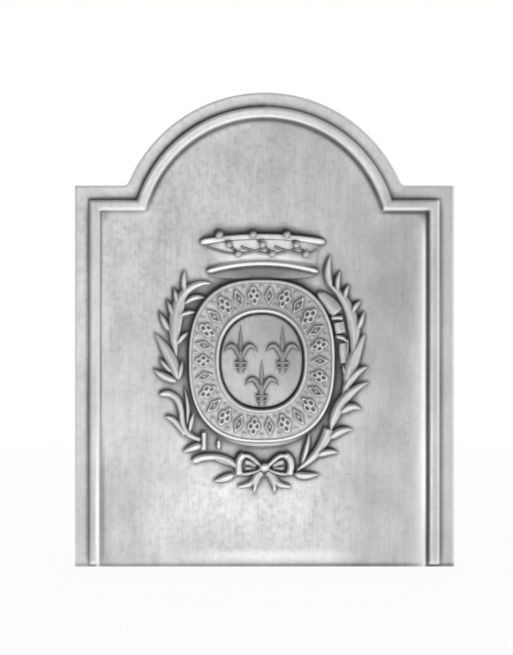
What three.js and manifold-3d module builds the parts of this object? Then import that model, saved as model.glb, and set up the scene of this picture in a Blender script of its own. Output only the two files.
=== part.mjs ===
// A small arched cast-iron fireback: a flat plate with a moulded border, a wreath tied with a bow,
// an oval medallion with three fleurs-de-lis and a coronet, and two screwed-on feet at the back.
// Millimetres. +X is to the right as one looks at the front, +Z is up, and the front faces -Y.
// The origin is the middle of the plate's bottom edge.
import * as THREE from "three";
import { mergeVertices } from "three/addons/utils/BufferGeometryUtils.js";
import Module from "manifold-3d";

// ---- driving dimensions -------------------------------------------------------------------------

// Plate
const plateWidth = 400;
const plateHeight = 500;
const plateThickness = 14;
const shoulderHeight = 402;
const archRadius = 156;
const edgeRound = 3;
const neckFillet = 5;

// Border moulding
const borderInset = 14;
const borderWidth = 15;
const borderRise = 6;

// Medallion
const medallionX = -3;
const medallionToKnot = 3;
const medallionZ = 217;
const medallionWidth = 153;
const medallionHeight = 171;
const medallionRise = 7;
const medallionSquareness = 2.55;
const lipWidth = 3;
const lipRise = 1.2;
const innerLipWidth = 5;
const domeWidth = 88;
const domeHeight = 100;
const domeEdgeRise = 4;
const domeCrown = 4;
const domeSquareness = 2.2;

// Fleurs-de-lis: two side by side and one below, each sized by its share of the dome
const fleurRise = 2;
const fleurMargin = 4;
const fleurStemWidth = 6.5;
const fleurPetalWidth = 5.5;
const fleurBandWidth = 3;
const fleurPairLift = 0.09;
const fleurLowerDrop = 0.26;

// Coronet
const coronetX = -2;
const coronetGapToMedallion = 9;
const coronetRingWidth = 118;
const coronetRingDrop = 11;
const coronetRimWidth = 132;
const coronetRimHeight = 30;
const coronetArc = 6;
const coronetRise = 5;
const coronetBulge = 2;
const rimThickness = 7;
const rimRise = 8;
const ringThickness = 6;
const ringRise = 7.5;
const liningRise = 3;
const liningMargin = 4;
const pearlDiameter = 8;
const pearlsOnString = 3;
const strandDiameter = 2;

// Wreath
const leafRise = 5.5;
const leafEdge = 1.5;
const leafFullness = 1.3;
const stemWidth = 6;
const stemRise = 3;
const stemEdge = 1;

// Bow, measured from the middle of its knot
const bowDrop = 27;
const bowKnotWidth = 9;
const bowKnotHeight = 7;
const bowKnotRise = 8;
const bowLoopReach = 27;
const bowLoopTop = 13;
const bowLoopBottom = 7.5;
const bowRise = 6;
const bowChamfer = 1.5;
const bowRibbonWall = 5;
const bowHollowDepth = 3.5;
const tailReach = 29;
const tailDrop = 26;
const tailRise = 4;
const tailChamfer = 1;

// Feet and their screws
const footSpacing = plateWidth * 0.6;
const footWidth = 60;
const footPadHeight = 110;
const footReach = 110;
const footThickness = 8;
const gussetThickness = 8;
const gussetDrop = 18;
const bossDiameter = 26;
const bossHeight = 4;
const boltDiameter = 8;
const boltSpacing = 36;
const boltZ = 70;
const boltLength = 20;
const boltHeadAcross = 13;
const boltHeadHeight = 5.5;
const washerDiameter = 18;
const washerThickness = 1.5;

// Clearances, and how far a cutting tool runs past what it cuts
const overrun = 1;
const gap = 0.3;
const boltHoleClearance = 0.5;

// ---- derived places -----------------------------------------------------------------------------

const plateFront = -plateThickness / 2;
const plateBack = plateThickness / 2;
const archCentreZ = plateHeight - archRadius;
const knotX = medallionX + medallionToKnot;
const knotZ = medallionZ - medallionHeight / 2 - bowDrop;
const coronetZ = medallionZ + medallionHeight / 2 + coronetGapToMedallion;
const bandWidth = (medallionWidth - domeWidth) / 2;

// ---- materials ----------------------------------------------------------------------------------

const polishedIron = new THREE.MeshStandardMaterial({ color: 0xc4c6c8, roughness: 0.5, metalness: 1 });
const castIron = new THREE.MeshStandardMaterial({ color: 0x4a4b4d, roughness: 0.8, metalness: 0.9 });
const boltSteel = new THREE.MeshStandardMaterial({ color: 0x8c8e90, roughness: 0.4, metalness: 1 });

// ---- solids -------------------------------------------------------------------------------------

const wasm = await Module();
wasm.setup();

// A closed geometry as a solid: shared vertices merged, and faces that collapsed to a line dropped.
function solidOf(geometry) {
  const bare = geometry.clone();
  bare.deleteAttribute("normal");
  bare.deleteAttribute("uv");
  const merged = mergeVertices(bare, 1e-3);
  const index = merged.index.array;
  const kept = [];
  for (let i = 0; i < index.length; i += 3) {
    const [a, b, c] = index.subarray(i, i + 3);
    if (a !== b && b !== c && c !== a) kept.push(a, b, c);
  }
  return new wasm.Manifold(
    new wasm.Mesh({
      numProp: 3,
      vertProperties: merged.attributes.position.array,
      triVerts: new Uint32Array(kept),
    }),
  );
}

// A solid as a geometry again.
function geometryOf(solid) {
  const { vertProperties, triVerts } = solid.getMesh();
  const geometry = new THREE.BufferGeometry();
  geometry.setAttribute("position", new THREE.BufferAttribute(vertProperties, 3));
  geometry.setIndex(new THREE.BufferAttribute(triVerts, 1));
  geometry.computeVertexNormals();
  return geometry;
}

// A place in the plate's face.
const point = (x, z) => new THREE.Vector2(x, z);

// Several solids joined to one.
function joined(solids) {
  return solids.reduce((all, next) => all.add(next));
}

const fireback = new THREE.Group();

// One named piece of the fireback.
function piece(name, solid, material = polishedIron) {
  const mesh = new THREE.Mesh(geometryOf(solid), material);
  mesh.name = name;
  fireback.add(mesh);
  return mesh;
}

// A slab bent over the plate. place(u, v) gives [x, z] and height(u, v) its front above the plate's face,
// with u across and v along, both from 0 to 1. Its back is flat at `base` above that face.
function relief(place, height, across, along, base = 0) {
  const geometry = new THREE.BoxGeometry(1, 1, 1, across, 1, along);
  const position = geometry.getAttribute("position");
  for (let i = 0; i < position.count; i++) {
    const u = position.getX(i) + 0.5;
    const v = position.getZ(i) + 0.5;
    const [x, z] = place(u, v);
    const level = position.getY(i) < 0 ? height(u, v) : base;
    position.setXYZ(i, x, plateFront - level, z);
  }
  return solidOf(geometry);
}

// A tapering stroke along a curve in the plate's face: width(v) across, crowned from `edge` to `rise`.
// `ground(x, z)` is the level that it lies on, and it starts `sunk` below that.
function stroke({ curve, width, rise, edge, steps = 6, across = 2, ground = () => 0, sunk = 0 }) {
  const at = (u, v) => {
    const centre = curve.getPoint(v);
    const heading = curve.getTangent(v);
    const side = (u - 0.5) * width(v);
    return [centre.x + heading.y * side, centre.y - heading.x * side];
  };
  const fullest = width(0.4);
  const height = (u, v) => {
    const crown = 1 - (2 * u - 1) ** 2;
    const taper = Math.min(1, width(v) / fullest);
    return ground(...at(u, v)) + edge + (rise - edge) * crown * taper;
  };
  return relief(at, height, across, steps, ground(...at(0.5, 0.5)) - sunk);
}

// A box between two corners.
function boxBetween([lowX, lowY, lowZ], [highX, highY, highZ]) {
  const geometry = new THREE.BoxGeometry(highX - lowX, highY - lowY, highZ - lowZ);
  geometry.translate((lowX + highX) / 2, (lowY + highY) / 2, (lowZ + highZ) / 2);
  return solidOf(geometry);
}

// Everything behind the plate's face, to cut the back of a piece flat.
const behindFace = boxBetween(
  [-plateWidth, plateFront, -plateHeight],
  [plateWidth, plateWidth, 2 * plateHeight],
);

// A flat outline pushed forward from the plate's face, from level `base` to level `top`, with a small
// chamfer round its front.
function raised(points, base, top, chamfer = 0) {
  const shape = new THREE.Shape(points.map((place) => point(...place)));
  const geometry = new THREE.ExtrudeGeometry(shape, {
    depth: top - base - chamfer,
    bevelEnabled: chamfer > 0,
    bevelThickness: chamfer,
    bevelSize: chamfer,
    bevelOffset: -chamfer,
    bevelSegments: 1,
  });
  geometry.rotateX(Math.PI / 2);
  geometry.translate(0, plateFront - base, 0);
  return solidOf(geometry);
}

// ---- plate --------------------------------------------------------------------------------------

// Points along an arc in the plate's face.
function arcPoints(x, z, radius, from, to, steps) {
  return Array.from({ length: steps + 1 }, (_, i) => {
    const angle = from + ((to - from) * i) / steps;
    return [x + radius * Math.cos(angle), z + radius * Math.sin(angle)];
  });
}

// The plate's outline: a rectangle with an arch on top, the arch meeting the shoulders in a fillet.
function plateOutline() {
  const half = plateWidth / 2;
  const filletZ = shoulderHeight + neckFillet;
  const reach = archRadius + neckFillet;
  const filletX = Math.sqrt(reach ** 2 - (filletZ - archCentreZ) ** 2);
  const start = Math.atan2(filletZ - archCentreZ, filletX);
  return [
    [-half, 0],
    [half, 0],
    [half, shoulderHeight],
    ...arcPoints(filletX, filletZ, neckFillet, -Math.PI / 2, start - Math.PI, 4),
    ...arcPoints(0, archCentreZ, archRadius, start, Math.PI - start, 40).slice(1, -1),
    ...arcPoints(-filletX, filletZ, neckFillet, -start, -Math.PI / 2, 4),
    [-half, shoulderHeight],
  ];
}

// A round bar along Y, centred on x and z, from y = from to y = to.
function bar(x, z, diameter, from, to, sides = 24) {
  const geometry = new THREE.CylinderGeometry(diameter / 2, diameter / 2, to - from, sides);
  geometry.translate(0, (from + to) / 2, 0);
  geometry.translate(x, 0, z);
  return solidOf(geometry);
}

// Where each foot's screws go: [foot's x, screw's x].
const screwPlaces = [-footSpacing / 2, footSpacing / 2].flatMap((x) => [
  [x, x - boltSpacing / 2],
  [x, x + boltSpacing / 2],
]);
const bossFace = plateBack + bossHeight;
const padFace = bossFace + footThickness;
const boltHead = padFace + washerThickness;
const boltTip = boltHead - boltLength;

// The plate with its edge rounded front and back, and the tapped bosses that its feet are screwed to.
function plateSolid() {
  const outline = new THREE.Shape(plateOutline().map((place) => point(...place)));
  const geometry = new THREE.ExtrudeGeometry(outline, {
    depth: plateThickness - 2 * edgeRound,
    bevelThickness: edgeRound,
    bevelSize: edgeRound,
    bevelOffset: -edgeRound,
    bevelSegments: 2,
  });
  geometry.rotateX(Math.PI / 2);
  geometry.translate(0, plateBack - edgeRound, 0);
  const bosses = screwPlaces.map(([, x]) => bar(x, boltZ, bossDiameter, 0, bossFace));
  const tapped = boltDiameter + 2 * gap;
  const holes = screwPlaces.map(([, x]) => bar(x, boltZ, tapped, boltTip - gap, bossFace + overrun));
  return joined([solidOf(geometry), ...bosses]).subtract(joined(holes));
}

piece("back_plate", plateSolid());

// ---- border moulding ----------------------------------------------------------------------------

// The corners of a line that follows the plate's outline at a distance inside it.
function borderCorners(inset) {
  const half = plateWidth / 2 - inset;
  const shoulder = shoulderHeight - inset;
  const radius = archRadius - inset;
  const turn = Math.asin((shoulder - archCentreZ) / radius);
  return { half, shoulder, radius, turn };
}

// One mitred length of half-round moulding: line(inset, v) gives the place a share v of the way along it.
function moulding(line, along) {
  const place = (u, v) => line(borderInset + borderWidth * u, v);
  const half = (u) => borderRise * Math.sqrt(Math.max(0, 1 - (2 * u - 1) ** 2));
  return relief(place, half, 6, along);
}

const straightLine = (from, to, v) => from + (to - from) * v;

// Up the left side, from the plate's rounded bottom edge to the mitre.
const leftSide = (inset, v) => {
  const { half, shoulder } = borderCorners(inset);
  return [-half, straightLine(edgeRound, shoulder - gap / 2, v)];
};

// Along the left shoulder, from the outer mitre to the foot of the arch.
const leftShoulder = (inset, v) => {
  const { half, shoulder, radius, turn } = borderCorners(inset);
  return [straightLine(-half + gap / 2, -radius * Math.cos(turn) - gap / 2, v), shoulder];
};

// Over the arch, from left to right.
const overArch = (inset, v) => {
  const { radius, turn } = borderCorners(inset);
  const start = Math.PI - turn - gap / 2 / radius;
  const angle = straightLine(start, Math.PI - start, v);
  return [radius * Math.cos(angle), archCentreZ + radius * Math.sin(angle)];
};

// The same lines on the right, run the other way so that their outer side stays on the left hand.
const mirrored = (line) => (inset, v) => {
  const [x, z] = line(inset, 1 - v);
  return [-x, z];
};

const archSteps = 36;
piece("border_left", moulding(leftSide, 1));
piece("border_left_shoulder", moulding(leftShoulder, 1));
piece("border_arch", moulding(overArch, archSteps));
piece("border_right_shoulder", moulding(mirrored(leftShoulder), 1));
piece("border_right", moulding(mirrored(leftSide), 1));

// ---- medallion ----------------------------------------------------------------------------------

// Distance from the medallion's centre to a squarish oval in the given direction.
function ovalRadius(angle, halfWidth, halfHeight, squareness) {
  const across = Math.abs(Math.cos(angle) / halfWidth) ** squareness;
  const up = Math.abs(Math.sin(angle) / halfHeight) ** squareness;
  return (across + up) ** (-1 / squareness);
}

// The medallion's rim, `outset` outside its edge.
const rimRadius = (angle, outset) =>
  ovalRadius(angle, medallionWidth / 2 + outset, medallionHeight / 2 + outset, medallionSquareness);

// The dome's edge, `outset` outside it.
const domeRadius = (angle, outset) =>
  ovalRadius(angle, domeWidth / 2 + outset, domeHeight / 2 + outset, domeSquareness);

// A ring or disc turned about the medallion's centre. profile is a closed line of [inset, level], where
// inset 0 is the rim and bandWidth the dome's edge, and beyond that the disc shrinks to its centre.
function turned(profile, sides, grow = 0) {
  const points = profile.map(([inset, level]) => point(1 - inset / (2 * bandWidth), -level)).reverse();
  const geometry = new THREE.LatheGeometry(points, sides);
  const position = geometry.getAttribute("position");
  for (let i = 0; i < position.count; i++) {
    const x = position.getX(i);
    const z = position.getZ(i);
    const share = Math.hypot(x, z);
    const angle = Math.atan2(z, x);
    const inset = 2 * bandWidth * (1 - share);
    const mix = inset / bandWidth;
    const onBand = rimRadius(angle, grow) * (1 - mix) + domeRadius(angle, grow) * mix;
    const onDome = domeRadius(angle, grow) * (1 - (inset - bandWidth) / bandWidth);
    const radius = mix <= 1 ? onBand : onDome;
    const y = plateFront + position.getY(i);
    position.setXYZ(i, medallionX + radius * Math.cos(angle), y, medallionZ + radius * Math.sin(angle));
  }
  return solidOf(geometry);
}

const ovalSides = 56;
const bandProfile = [
  [0, 0],
  [0, medallionRise],
  [lipWidth / 2, medallionRise + lipRise],
  [lipWidth, medallionRise],
  [bandWidth - innerLipWidth, medallionRise],
  [bandWidth - innerLipWidth / 2, medallionRise + 2 * lipRise],
  [bandWidth - gap, medallionRise],
  [bandWidth - gap, 0],
  [0, 0],
];
piece("medallion_band", turned(bandProfile, ovalSides));

const domeSteps = 4;
const domeLevel = (share) => domeEdgeRise + domeCrown * (1 - share ** 2);
const domeProfile = [
  [2 * bandWidth, 0],
  [bandWidth, 0],
  ...Array.from({ length: domeSteps + 1 }, (_, i) => i / domeSteps).map((share) => [
    bandWidth * (1 + share),
    domeLevel(1 - share),
  ]),
];
const domeSolid = turned(domeProfile, ovalSides);
piece("medallion_dome", domeSolid);

// What the medallion covers, one gap larger all round, to cut out of what passes behind it.
const cutterRise = 2 * medallionRise;
const medallionCutter = turned(
  [[2 * bandWidth, -overrun], [0, -overrun], [0, cutterRise], [2 * bandWidth, cutterRise]],
  ovalSides,
  gap,
);

// ---- fleurs-de-lis ------------------------------------------------------------------------------

// A pointed leaf's width from root to tip, with its widest place at two fifths.
const leafWidth = (width) => (v) => width * Math.sin(Math.PI * v ** 0.75) ** 0.7;

// A flower's level on the dome at a place: the dome's own front there.
function domeGround(x, z) {
  const dx = x - medallionX;
  const dz = z - medallionZ;
  const share = Math.hypot(dx, dz) / domeRadius(Math.atan2(dz, dx), 0);
  return domeLevel(Math.min(1, share)) + gap;
}

// One flower about the joint of its petals: a tall middle petal, two that curl outwards, a stem and the
// band that ties them.
const fleurSpan = domeWidth / 4 - fleurMargin;
const fleurTip = (domeHeight * 2) / 7;
const fleurFoot = (domeHeight * 3) / 14;

function fleurDeLis(x, z) {
  const on = (across, up) => point(x + across * fleurSpan, z + up);
  const laid = { rise: fleurRise, edge: fleurRise / 3, ground: domeGround, sunk: overrun };
  const part = (places, width, steps) => {
    const curve = new THREE.QuadraticBezierCurve(...places.map((place) => on(...place)));
    return stroke({ ...laid, curve, width, steps });
  };
  const petalRoot = -fleurFoot / 3;
  const bandZ = -fleurFoot / 2;
  const petal = (side) => [[side / 18, petalRoot], [side / 3, fleurTip * 0.55], [side, 0]];
  const parts = [
    part([[0, petalRoot], [0, 0], [0, fleurTip]], leafWidth(fleurStemWidth), 6),
    part(petal(-1), leafWidth(fleurPetalWidth), 6),
    part(petal(1), leafWidth(fleurPetalWidth), 6),
    part([[0, 2], [0, bandZ], [0, -fleurFoot]], () => fleurStemWidth, 3),
    part([[-1 / 3, bandZ], [0, bandZ], [1 / 3, bandZ]], () => fleurBandWidth, 2),
  ];
  return joined(parts).subtract(domeSolid.translate([0, -gap, 0]));
}

const fleurPlaces = {
  left: [-domeWidth / 4, domeHeight * fleurPairLift],
  right: [domeWidth / 4, domeHeight * fleurPairLift],
  lower: [0, -domeHeight * fleurLowerDrop],
};
for (const [name, [x, z]] of Object.entries(fleurPlaces)) {
  piece("fleur_de_lis_" + name, fleurDeLis(medallionX + x, medallionZ + z));
}

// ---- coronet ------------------------------------------------------------------------------------

// A bow from 0 at both ends to 1 in the middle.
const arcShare = (u) => 1 - (2 * u - 1) ** 2;

const coronetSteps = 20;

// A bar across the coronet, bowed upwards, with a rounded front and its ends drawn in.
function coronetBar(width, middleZ, thickness, rise) {
  const thick = (v) => thickness * Math.min(1, 0.4 + 4 * arcShare(v));
  const place = (u, v) => [
    coronetX + (v - 0.5) * width,
    middleZ + coronetArc * (arcShare(v) - 1) + (0.5 - u) * thick(v),
  ];
  const front = (u) => (rise * (1 + Math.sqrt(arcShare(u)))) / 2;
  return relief(place, front, 4, coronetSteps);
}

const ringZ = coronetZ + coronetArc;
const rimZ = ringZ + coronetRimHeight;
piece("coronet_top_rim", coronetBar(coronetRimWidth, rimZ, rimThickness, rimRise));
piece("coronet_base_ring", coronetBar(coronetRingWidth, ringZ, ringThickness, ringRise));

// The circlet between the two bars, leaning out towards its rim.
function circletPlace(u, v) {
  const half = straightLine(coronetRingWidth, coronetRimWidth - rimThickness, v) / 2;
  const bottom = ringZ + ringThickness / 2 + gap;
  const top = rimZ - rimThickness / 2 - gap;
  return [coronetX + (2 * u - 1) * half, straightLine(bottom, top, v) + coronetArc * (arcShare(u) - 1)];
}
const circletRise = (u) => coronetRise + coronetBulge * arcShare(u);
piece("coronet_circlet", relief(circletPlace, circletRise, coronetSteps, 3));

// The inside of the ring, seen from below: a crescent under the base ring.
function liningPlace(u, v) {
  const across = (2 * u - 1) * (coronetRingWidth / 2 - liningMargin);
  const top = ringZ - ringThickness / 2 - gap + coronetArc * (arcShare(u) - 1);
  const bottom = top - overrun - (coronetRingDrop + coronetArc) * Math.sqrt(arcShare(u));
  return [coronetX + across, straightLine(bottom, top, v)];
}
piece("coronet_lining", relief(liningPlace, () => liningRise, coronetSteps, 2).subtract(medallionCutter));

// What the pearls lie on, one gap larger all round.
const coronetCutter = joined([
  relief(circletPlace, (u) => circletRise(u) + gap, coronetSteps, 3, -overrun),
  coronetBar(coronetRimWidth + 2 * gap, rimZ, rimThickness + 2 * gap, rimRise + gap),
  coronetBar(coronetRingWidth + 2 * gap, ringZ, ringThickness + 2 * gap, ringRise + gap),
]);

const pearlLevel = Math.max(coronetRise + coronetBulge, rimRise) + pearlDiameter / 8;

function pearl(x, z) {
  const geometry = new THREE.SphereGeometry(pearlDiameter / 2, 10, 6);
  geometry.translate(x, plateFront - pearlLevel, z);
  return solidOf(geometry);
}

// A string of pearls, wound slantwise from the rim down the circlet.
const pearlDrop = coronetRimHeight / pearlsOnString;

function pearlString(startX) {
  const startZ = rimZ + pearlDiameter / 5;
  const places = Array.from({ length: pearlsOnString }, (_, i) => [
    startX + i * pearlDrop,
    startZ - i * pearlDrop,
  ]);
  const strand = stroke({
    curve: new THREE.LineCurve(point(...places[0]), point(...places.at(-1))),
    width: () => strandDiameter,
    rise: pearlLevel + strandDiameter / 2,
    edge: pearlLevel - strandDiameter / 2,
    steps: 1,
  });
  const pearls = places.map(([x, z]) => pearl(x, z));
  return joined([strand, ...pearls]).subtract(coronetCutter);
}
["left", "middle", "right"].forEach((name, i) => {
  piece("pearl_string_" + name, pearlString(coronetX - pearlDrop + (i - 1) * 0.3 * coronetRingWidth));
});

// ---- bow ----------------------------------------------------------------------------------------

// A place on the bow: side -1 is its left half and 1 its right.
const onBow = (side) => ([x, z]) => [knotX + side * x, knotZ + z];
const knotEdge = bowKnotWidth / 2 + gap;

// A loop of ribbon seen from the front: a fan with a round outer turn, hollow between its two sides.
function bowLoop(side) {
  const reach = bowLoopReach;
  const outside = [
    [knotEdge, -bowKnotHeight * 0.4],
    [reach * 0.5, -bowLoopBottom * 0.8],
    [reach * 0.9, -bowLoopBottom],
    [reach, -bowLoopBottom * 0.4],
    [reach, bowLoopTop * 0.5],
    [reach * 0.9, bowLoopTop * 0.8],
    [reach * 0.65, bowLoopTop],
    [reach * 0.35, bowLoopTop * 0.6],
    [knotEdge, bowKnotHeight * 0.4],
  ];
  const inside = [
    [knotEdge + bowRibbonWall / 2, -bowKnotHeight * 0.2],
    [reach - 1.5 * bowRibbonWall, bowRibbonWall * 0.7 - bowLoopBottom],
    [reach - 1.5 * bowRibbonWall, bowLoopTop - bowRibbonWall],
    [knotEdge + bowRibbonWall / 2, bowKnotHeight * 0.3],
  ];
  const hollow = raised(inside.map(onBow(side)), bowRise - bowHollowDepth, bowRise + overrun);
  return raised(outside.map(onBow(side)), 0, bowRise, bowChamfer).subtract(hollow).subtract(behindFace);
}

// A ribbon tail with a forked end.
function bowTail(side) {
  const top = -bowLoopBottom * 0.8 - gap;
  const points = [
    [bowKnotWidth * 0.1, -bowKnotHeight / 2 - gap],
    [bowKnotWidth / 2, -bowKnotHeight / 2 - gap],
    [tailReach * 0.35, top],
    [tailReach * 0.5, -tailDrop * 0.55],
    [tailReach, -tailDrop * 0.77],
    [tailReach * 0.7, -tailDrop * 0.83],
    [tailReach * 0.6, -tailDrop],
    [tailReach * 0.35, -tailDrop * 0.75],
    [tailReach * 0.2, -tailDrop * 0.45],
  ];
  return raised(points.map(onBow(side)), 0, tailRise, tailChamfer).subtract(behindFace);
}

const knotGeometry = new THREE.SphereGeometry(bowKnotWidth / 2, 16, 8);
knotGeometry.scale(1, (2 * bowKnotRise) / bowKnotWidth, bowKnotHeight / bowKnotWidth);
knotGeometry.translate(knotX, plateFront, knotZ);
piece("bow_knot", solidOf(knotGeometry).subtract(behindFace));

const tails = [-1, 1].map(bowTail);
["left", "right"].forEach((name, i) => {
  piece("bow_loop_" + name, bowLoop(2 * i - 1));
  piece("bow_tail_" + name, tails[i]);
});

// ---- wreath -------------------------------------------------------------------------------------

// A place round the medallion: degrees from its right-hand side, and millimetres outside its rim.
function around(degrees, outset) {
  const angle = THREE.MathUtils.degToRad(degrees);
  const radius = rimRadius(angle, outset);
  return [medallionX + radius * Math.cos(angle), medallionZ + radius * Math.sin(angle)];
}

// Each leaf is its root, the place that it bends towards and its tip, all as around() reads them, and
// its width.
const leftLeaves = {
  tied_end: [[256, 25], [244, 19], [236, 36], 7.5],
  ribbon_leaf: [[256, 27], [256, 42], [248, 47], 8.5],
  low_leaf: [[235, 16], [231, 25], [229, 37], 7.5],
  hook_below: [[235, 14], [224, 25], [216, 17], 7.5],
  hook_above: [[218, 20], [204, 10], [197, 32], 8.5],
  hook_leaf: [[218, 21], [212, 24], [208, 32], 6.5],
  shoot: [[221, 17], [212, 5], [197, 7], 4],
  twig: [[225, 19], [220, 11], [217, 3], 4],
  low_twig: [[229, 19], [227, 10], [226, 0], 5],
  middle_leaf: [[193, 12], [178, 16], [165, 38], 11.5],
  middle_spur: [[194, 13], [189, 28], [184, 38], 6.5],
  middle_tooth: [[188, 16], [183, 26], [178, 31], 5],
  middle_inner: [[193, 11], [186, 9], [179, 6], 5],
  top_blade: [[188, 13], [165, 22], [145, 18], 12.5],
  top_hook: [[152, 17], [135, 29], [124, 3], 9.5],
  first_tooth: [[160, 20], [157, 30], [154, 36], 7.5],
  second_tooth: [[152, 20], [150, 28], [146, 32], 6.5],
  third_tooth: [[145, 19], [144, 27], [139, 31], 6.5],
  fourth_tooth: [[139, 18], [135, 29], [130, 35], 6.5],
  inner_hook: [[144, 15], [134, 12], [131, -3], 6.5],
  inner_tooth: [[153, 18], [145, 8], [143, -1], 5],
  inner_spur: [[169, 12], [162, 9], [158, 0], 5],
};
const rightLeaves = {
  tied_end: [[-74, 31], [-59, 27], [-44, 13], 10.5],
  inner_blade: [[-69, 28], [-63, 16], [-56, 2], 5],
  ribbon_leaf: [[-74, 33], [-70, 41], [-63, 42], 8.5],
  low_leaf: [[-60, 26], [-54, 25], [-50, 36], 6.5],
  third_leaf: [[-49, 20], [-41, 20], [-37, 33], 7.5],
  long_leaf: [[-45, 15], [-22, 6], [-11, 38], 9.5],
  fourth_leaf: [[-34, 15], [-25, 20], [-26, 34], 7.5],
  fifth_leaf: [[-22, 12], [-7, 17], [-3, 36], 8.5],
  big_leaf: [[-17, 14], [2, 17], [15, 34], 12.5],
  inner_leaf: [[-12, 13], [4, 15], [14, 6], 8.5],
  inner_bud: [[-12, 12], [-7, 9], [-2, 8], 4],
  main_blade: [[-10, 16], [15, 25], [35, 20], 11.5],
  top_blade: [[25, 21], [38, 22], [51, 17], 7.5],
  top_spike: [[45, 18], [55, 23], [57, 43], 6.5],
  second_spike: [[40, 18], [47, 24], [49, 36], 5],
  third_spike: [[35, 20], [40, 24], [41, 34], 6.5],
  fourth_spike: [[27, 22], [32, 26], [31, 37], 6.5],
  fifth_spike: [[18, 23], [21, 30], [27, 37], 7.5],
  inner_plate: [[30, 17], [42, 9], [51, 2], 12.5],
  middle_plate: [[23, 18], [29, 12], [31, 3], 7.5],
  lower_plate: [[15, 18], [22, 10], [22, 1], 9.5],
};

// The places that each branch's twig runs through.
const leftStem = [
  [258, 26],
  [246, 22],
  [235, 19],
  [224, 19],
  [212, 15],
  [200, 12],
  [188, 13],
  [170, 16],
  [152, 18],
];
const rightStem = [
  [-74, 31],
  [-60, 27],
  [-46, 15],
  [-30, 12],
  [-14, 13],
  [4, 18],
  [20, 21],
  [32, 21],
];

// The twig that a branch's leaves grow from, through places round the medallion.
function branchStem(places) {
  const points = places.map((place) => point(...around(...place)));
  const thin = (v) => stemWidth * (1 - 0.6 * v);
  const curve = new THREE.SplineCurve(points);
  return stroke({ curve, width: thin, rise: stemRise, edge: stemEdge, steps: 20 });
}

// What the bow covers, one gap larger all round: its loops' outline and its tails.
const loopsOutline = [
  [-bowLoopReach - gap, -bowLoopBottom - gap],
  [bowLoopReach + gap, -bowLoopBottom - gap],
  [bowLoopReach + gap, bowLoopTop * 0.8],
  [bowLoopReach * 0.65, bowLoopTop + gap],
  [-bowLoopReach * 0.65, bowLoopTop + gap],
  [-bowLoopReach - gap, bowLoopTop * 0.8],
];
const bowCutter = joined([raised(loopsOutline.map(onBow(1)), -overrun, 2 * bowRise), ...tails]);

function wreathBranch(leaves, stem) {
  const placed = (place) => point(...around(...place));
  const blades = Object.values(leaves).map(([root, middle, tip, width]) =>
    stroke({
      curve: new THREE.QuadraticBezierCurve(...[root, middle, tip].map(placed)),
      width: leafWidth(width * leafFullness),
      rise: leafRise,
      edge: leafEdge,
    }),
  );
  return joined([branchStem(stem), ...blades]).subtract(joined([medallionCutter, bowCutter]));
}
piece("wreath_branch_left", wreathBranch(leftLeaves, leftStem));
piece("wreath_branch_right", wreathBranch(rightLeaves, rightStem));

// ---- rear feet ----------------------------------------------------------------------------------

const clearHole = boltDiameter + 2 * boltHoleClearance;

function rearFoot(x) {
  const left = x - footWidth / 2;
  const right = x + footWidth / 2;
  const heel = bossFace + footReach;
  const pad = boxBetween([left, bossFace, 0], [right, padFace, footPadHeight]);
  const sole = boxBetween([left, bossFace, 0], [right, heel, footThickness]);
  const web = new THREE.Shape([
    point(padFace - overrun, footThickness - overrun),
    point(heel - footThickness, footThickness - overrun),
    point(padFace - overrun, footPadHeight - gussetDrop),
  ]);
  const gusset = new THREE.ExtrudeGeometry(web, { depth: gussetThickness, bevelEnabled: false });
  gusset.rotateX(Math.PI / 2);
  gusset.rotateZ(Math.PI / 2);
  gusset.translate(x - gussetThickness / 2, 0, 0);
  const holes = screwPlaces
    .filter(([foot]) => foot === x)
    .map(([, screw]) => bar(screw, boltZ, clearHole, bossFace - overrun, padFace + overrun));
  return joined([pad, sole, solidOf(gusset)]).subtract(joined(holes));
}
piece("rear_foot_left", rearFoot(-footSpacing / 2), castIron);
piece("rear_foot_right", rearFoot(footSpacing / 2), castIron);

const screwNames = ["left_outer", "left_inner", "right_inner", "right_outer"];
screwPlaces.forEach(([, x], i) => {
  const shank = bar(x, boltZ, boltDiameter, boltTip, boltHead);
  const head = bar(x, boltZ, (boltHeadAcross * 2) / Math.sqrt(3), boltHead, boltHead + boltHeadHeight, 6);
  piece("foot_bolt_" + screwNames[i], joined([shank, head]), boltSteel);
  const hole = bar(x, boltZ, boltDiameter + 2 * gap, padFace - overrun, boltHead + overrun);
  const washer = bar(x, boltZ, washerDiameter, padFace, boltHead).subtract(hole);
  piece("foot_washer_" + screwNames[i], washer, boltSteel);
});

export default fireback;
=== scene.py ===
# %% [markdown]
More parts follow.
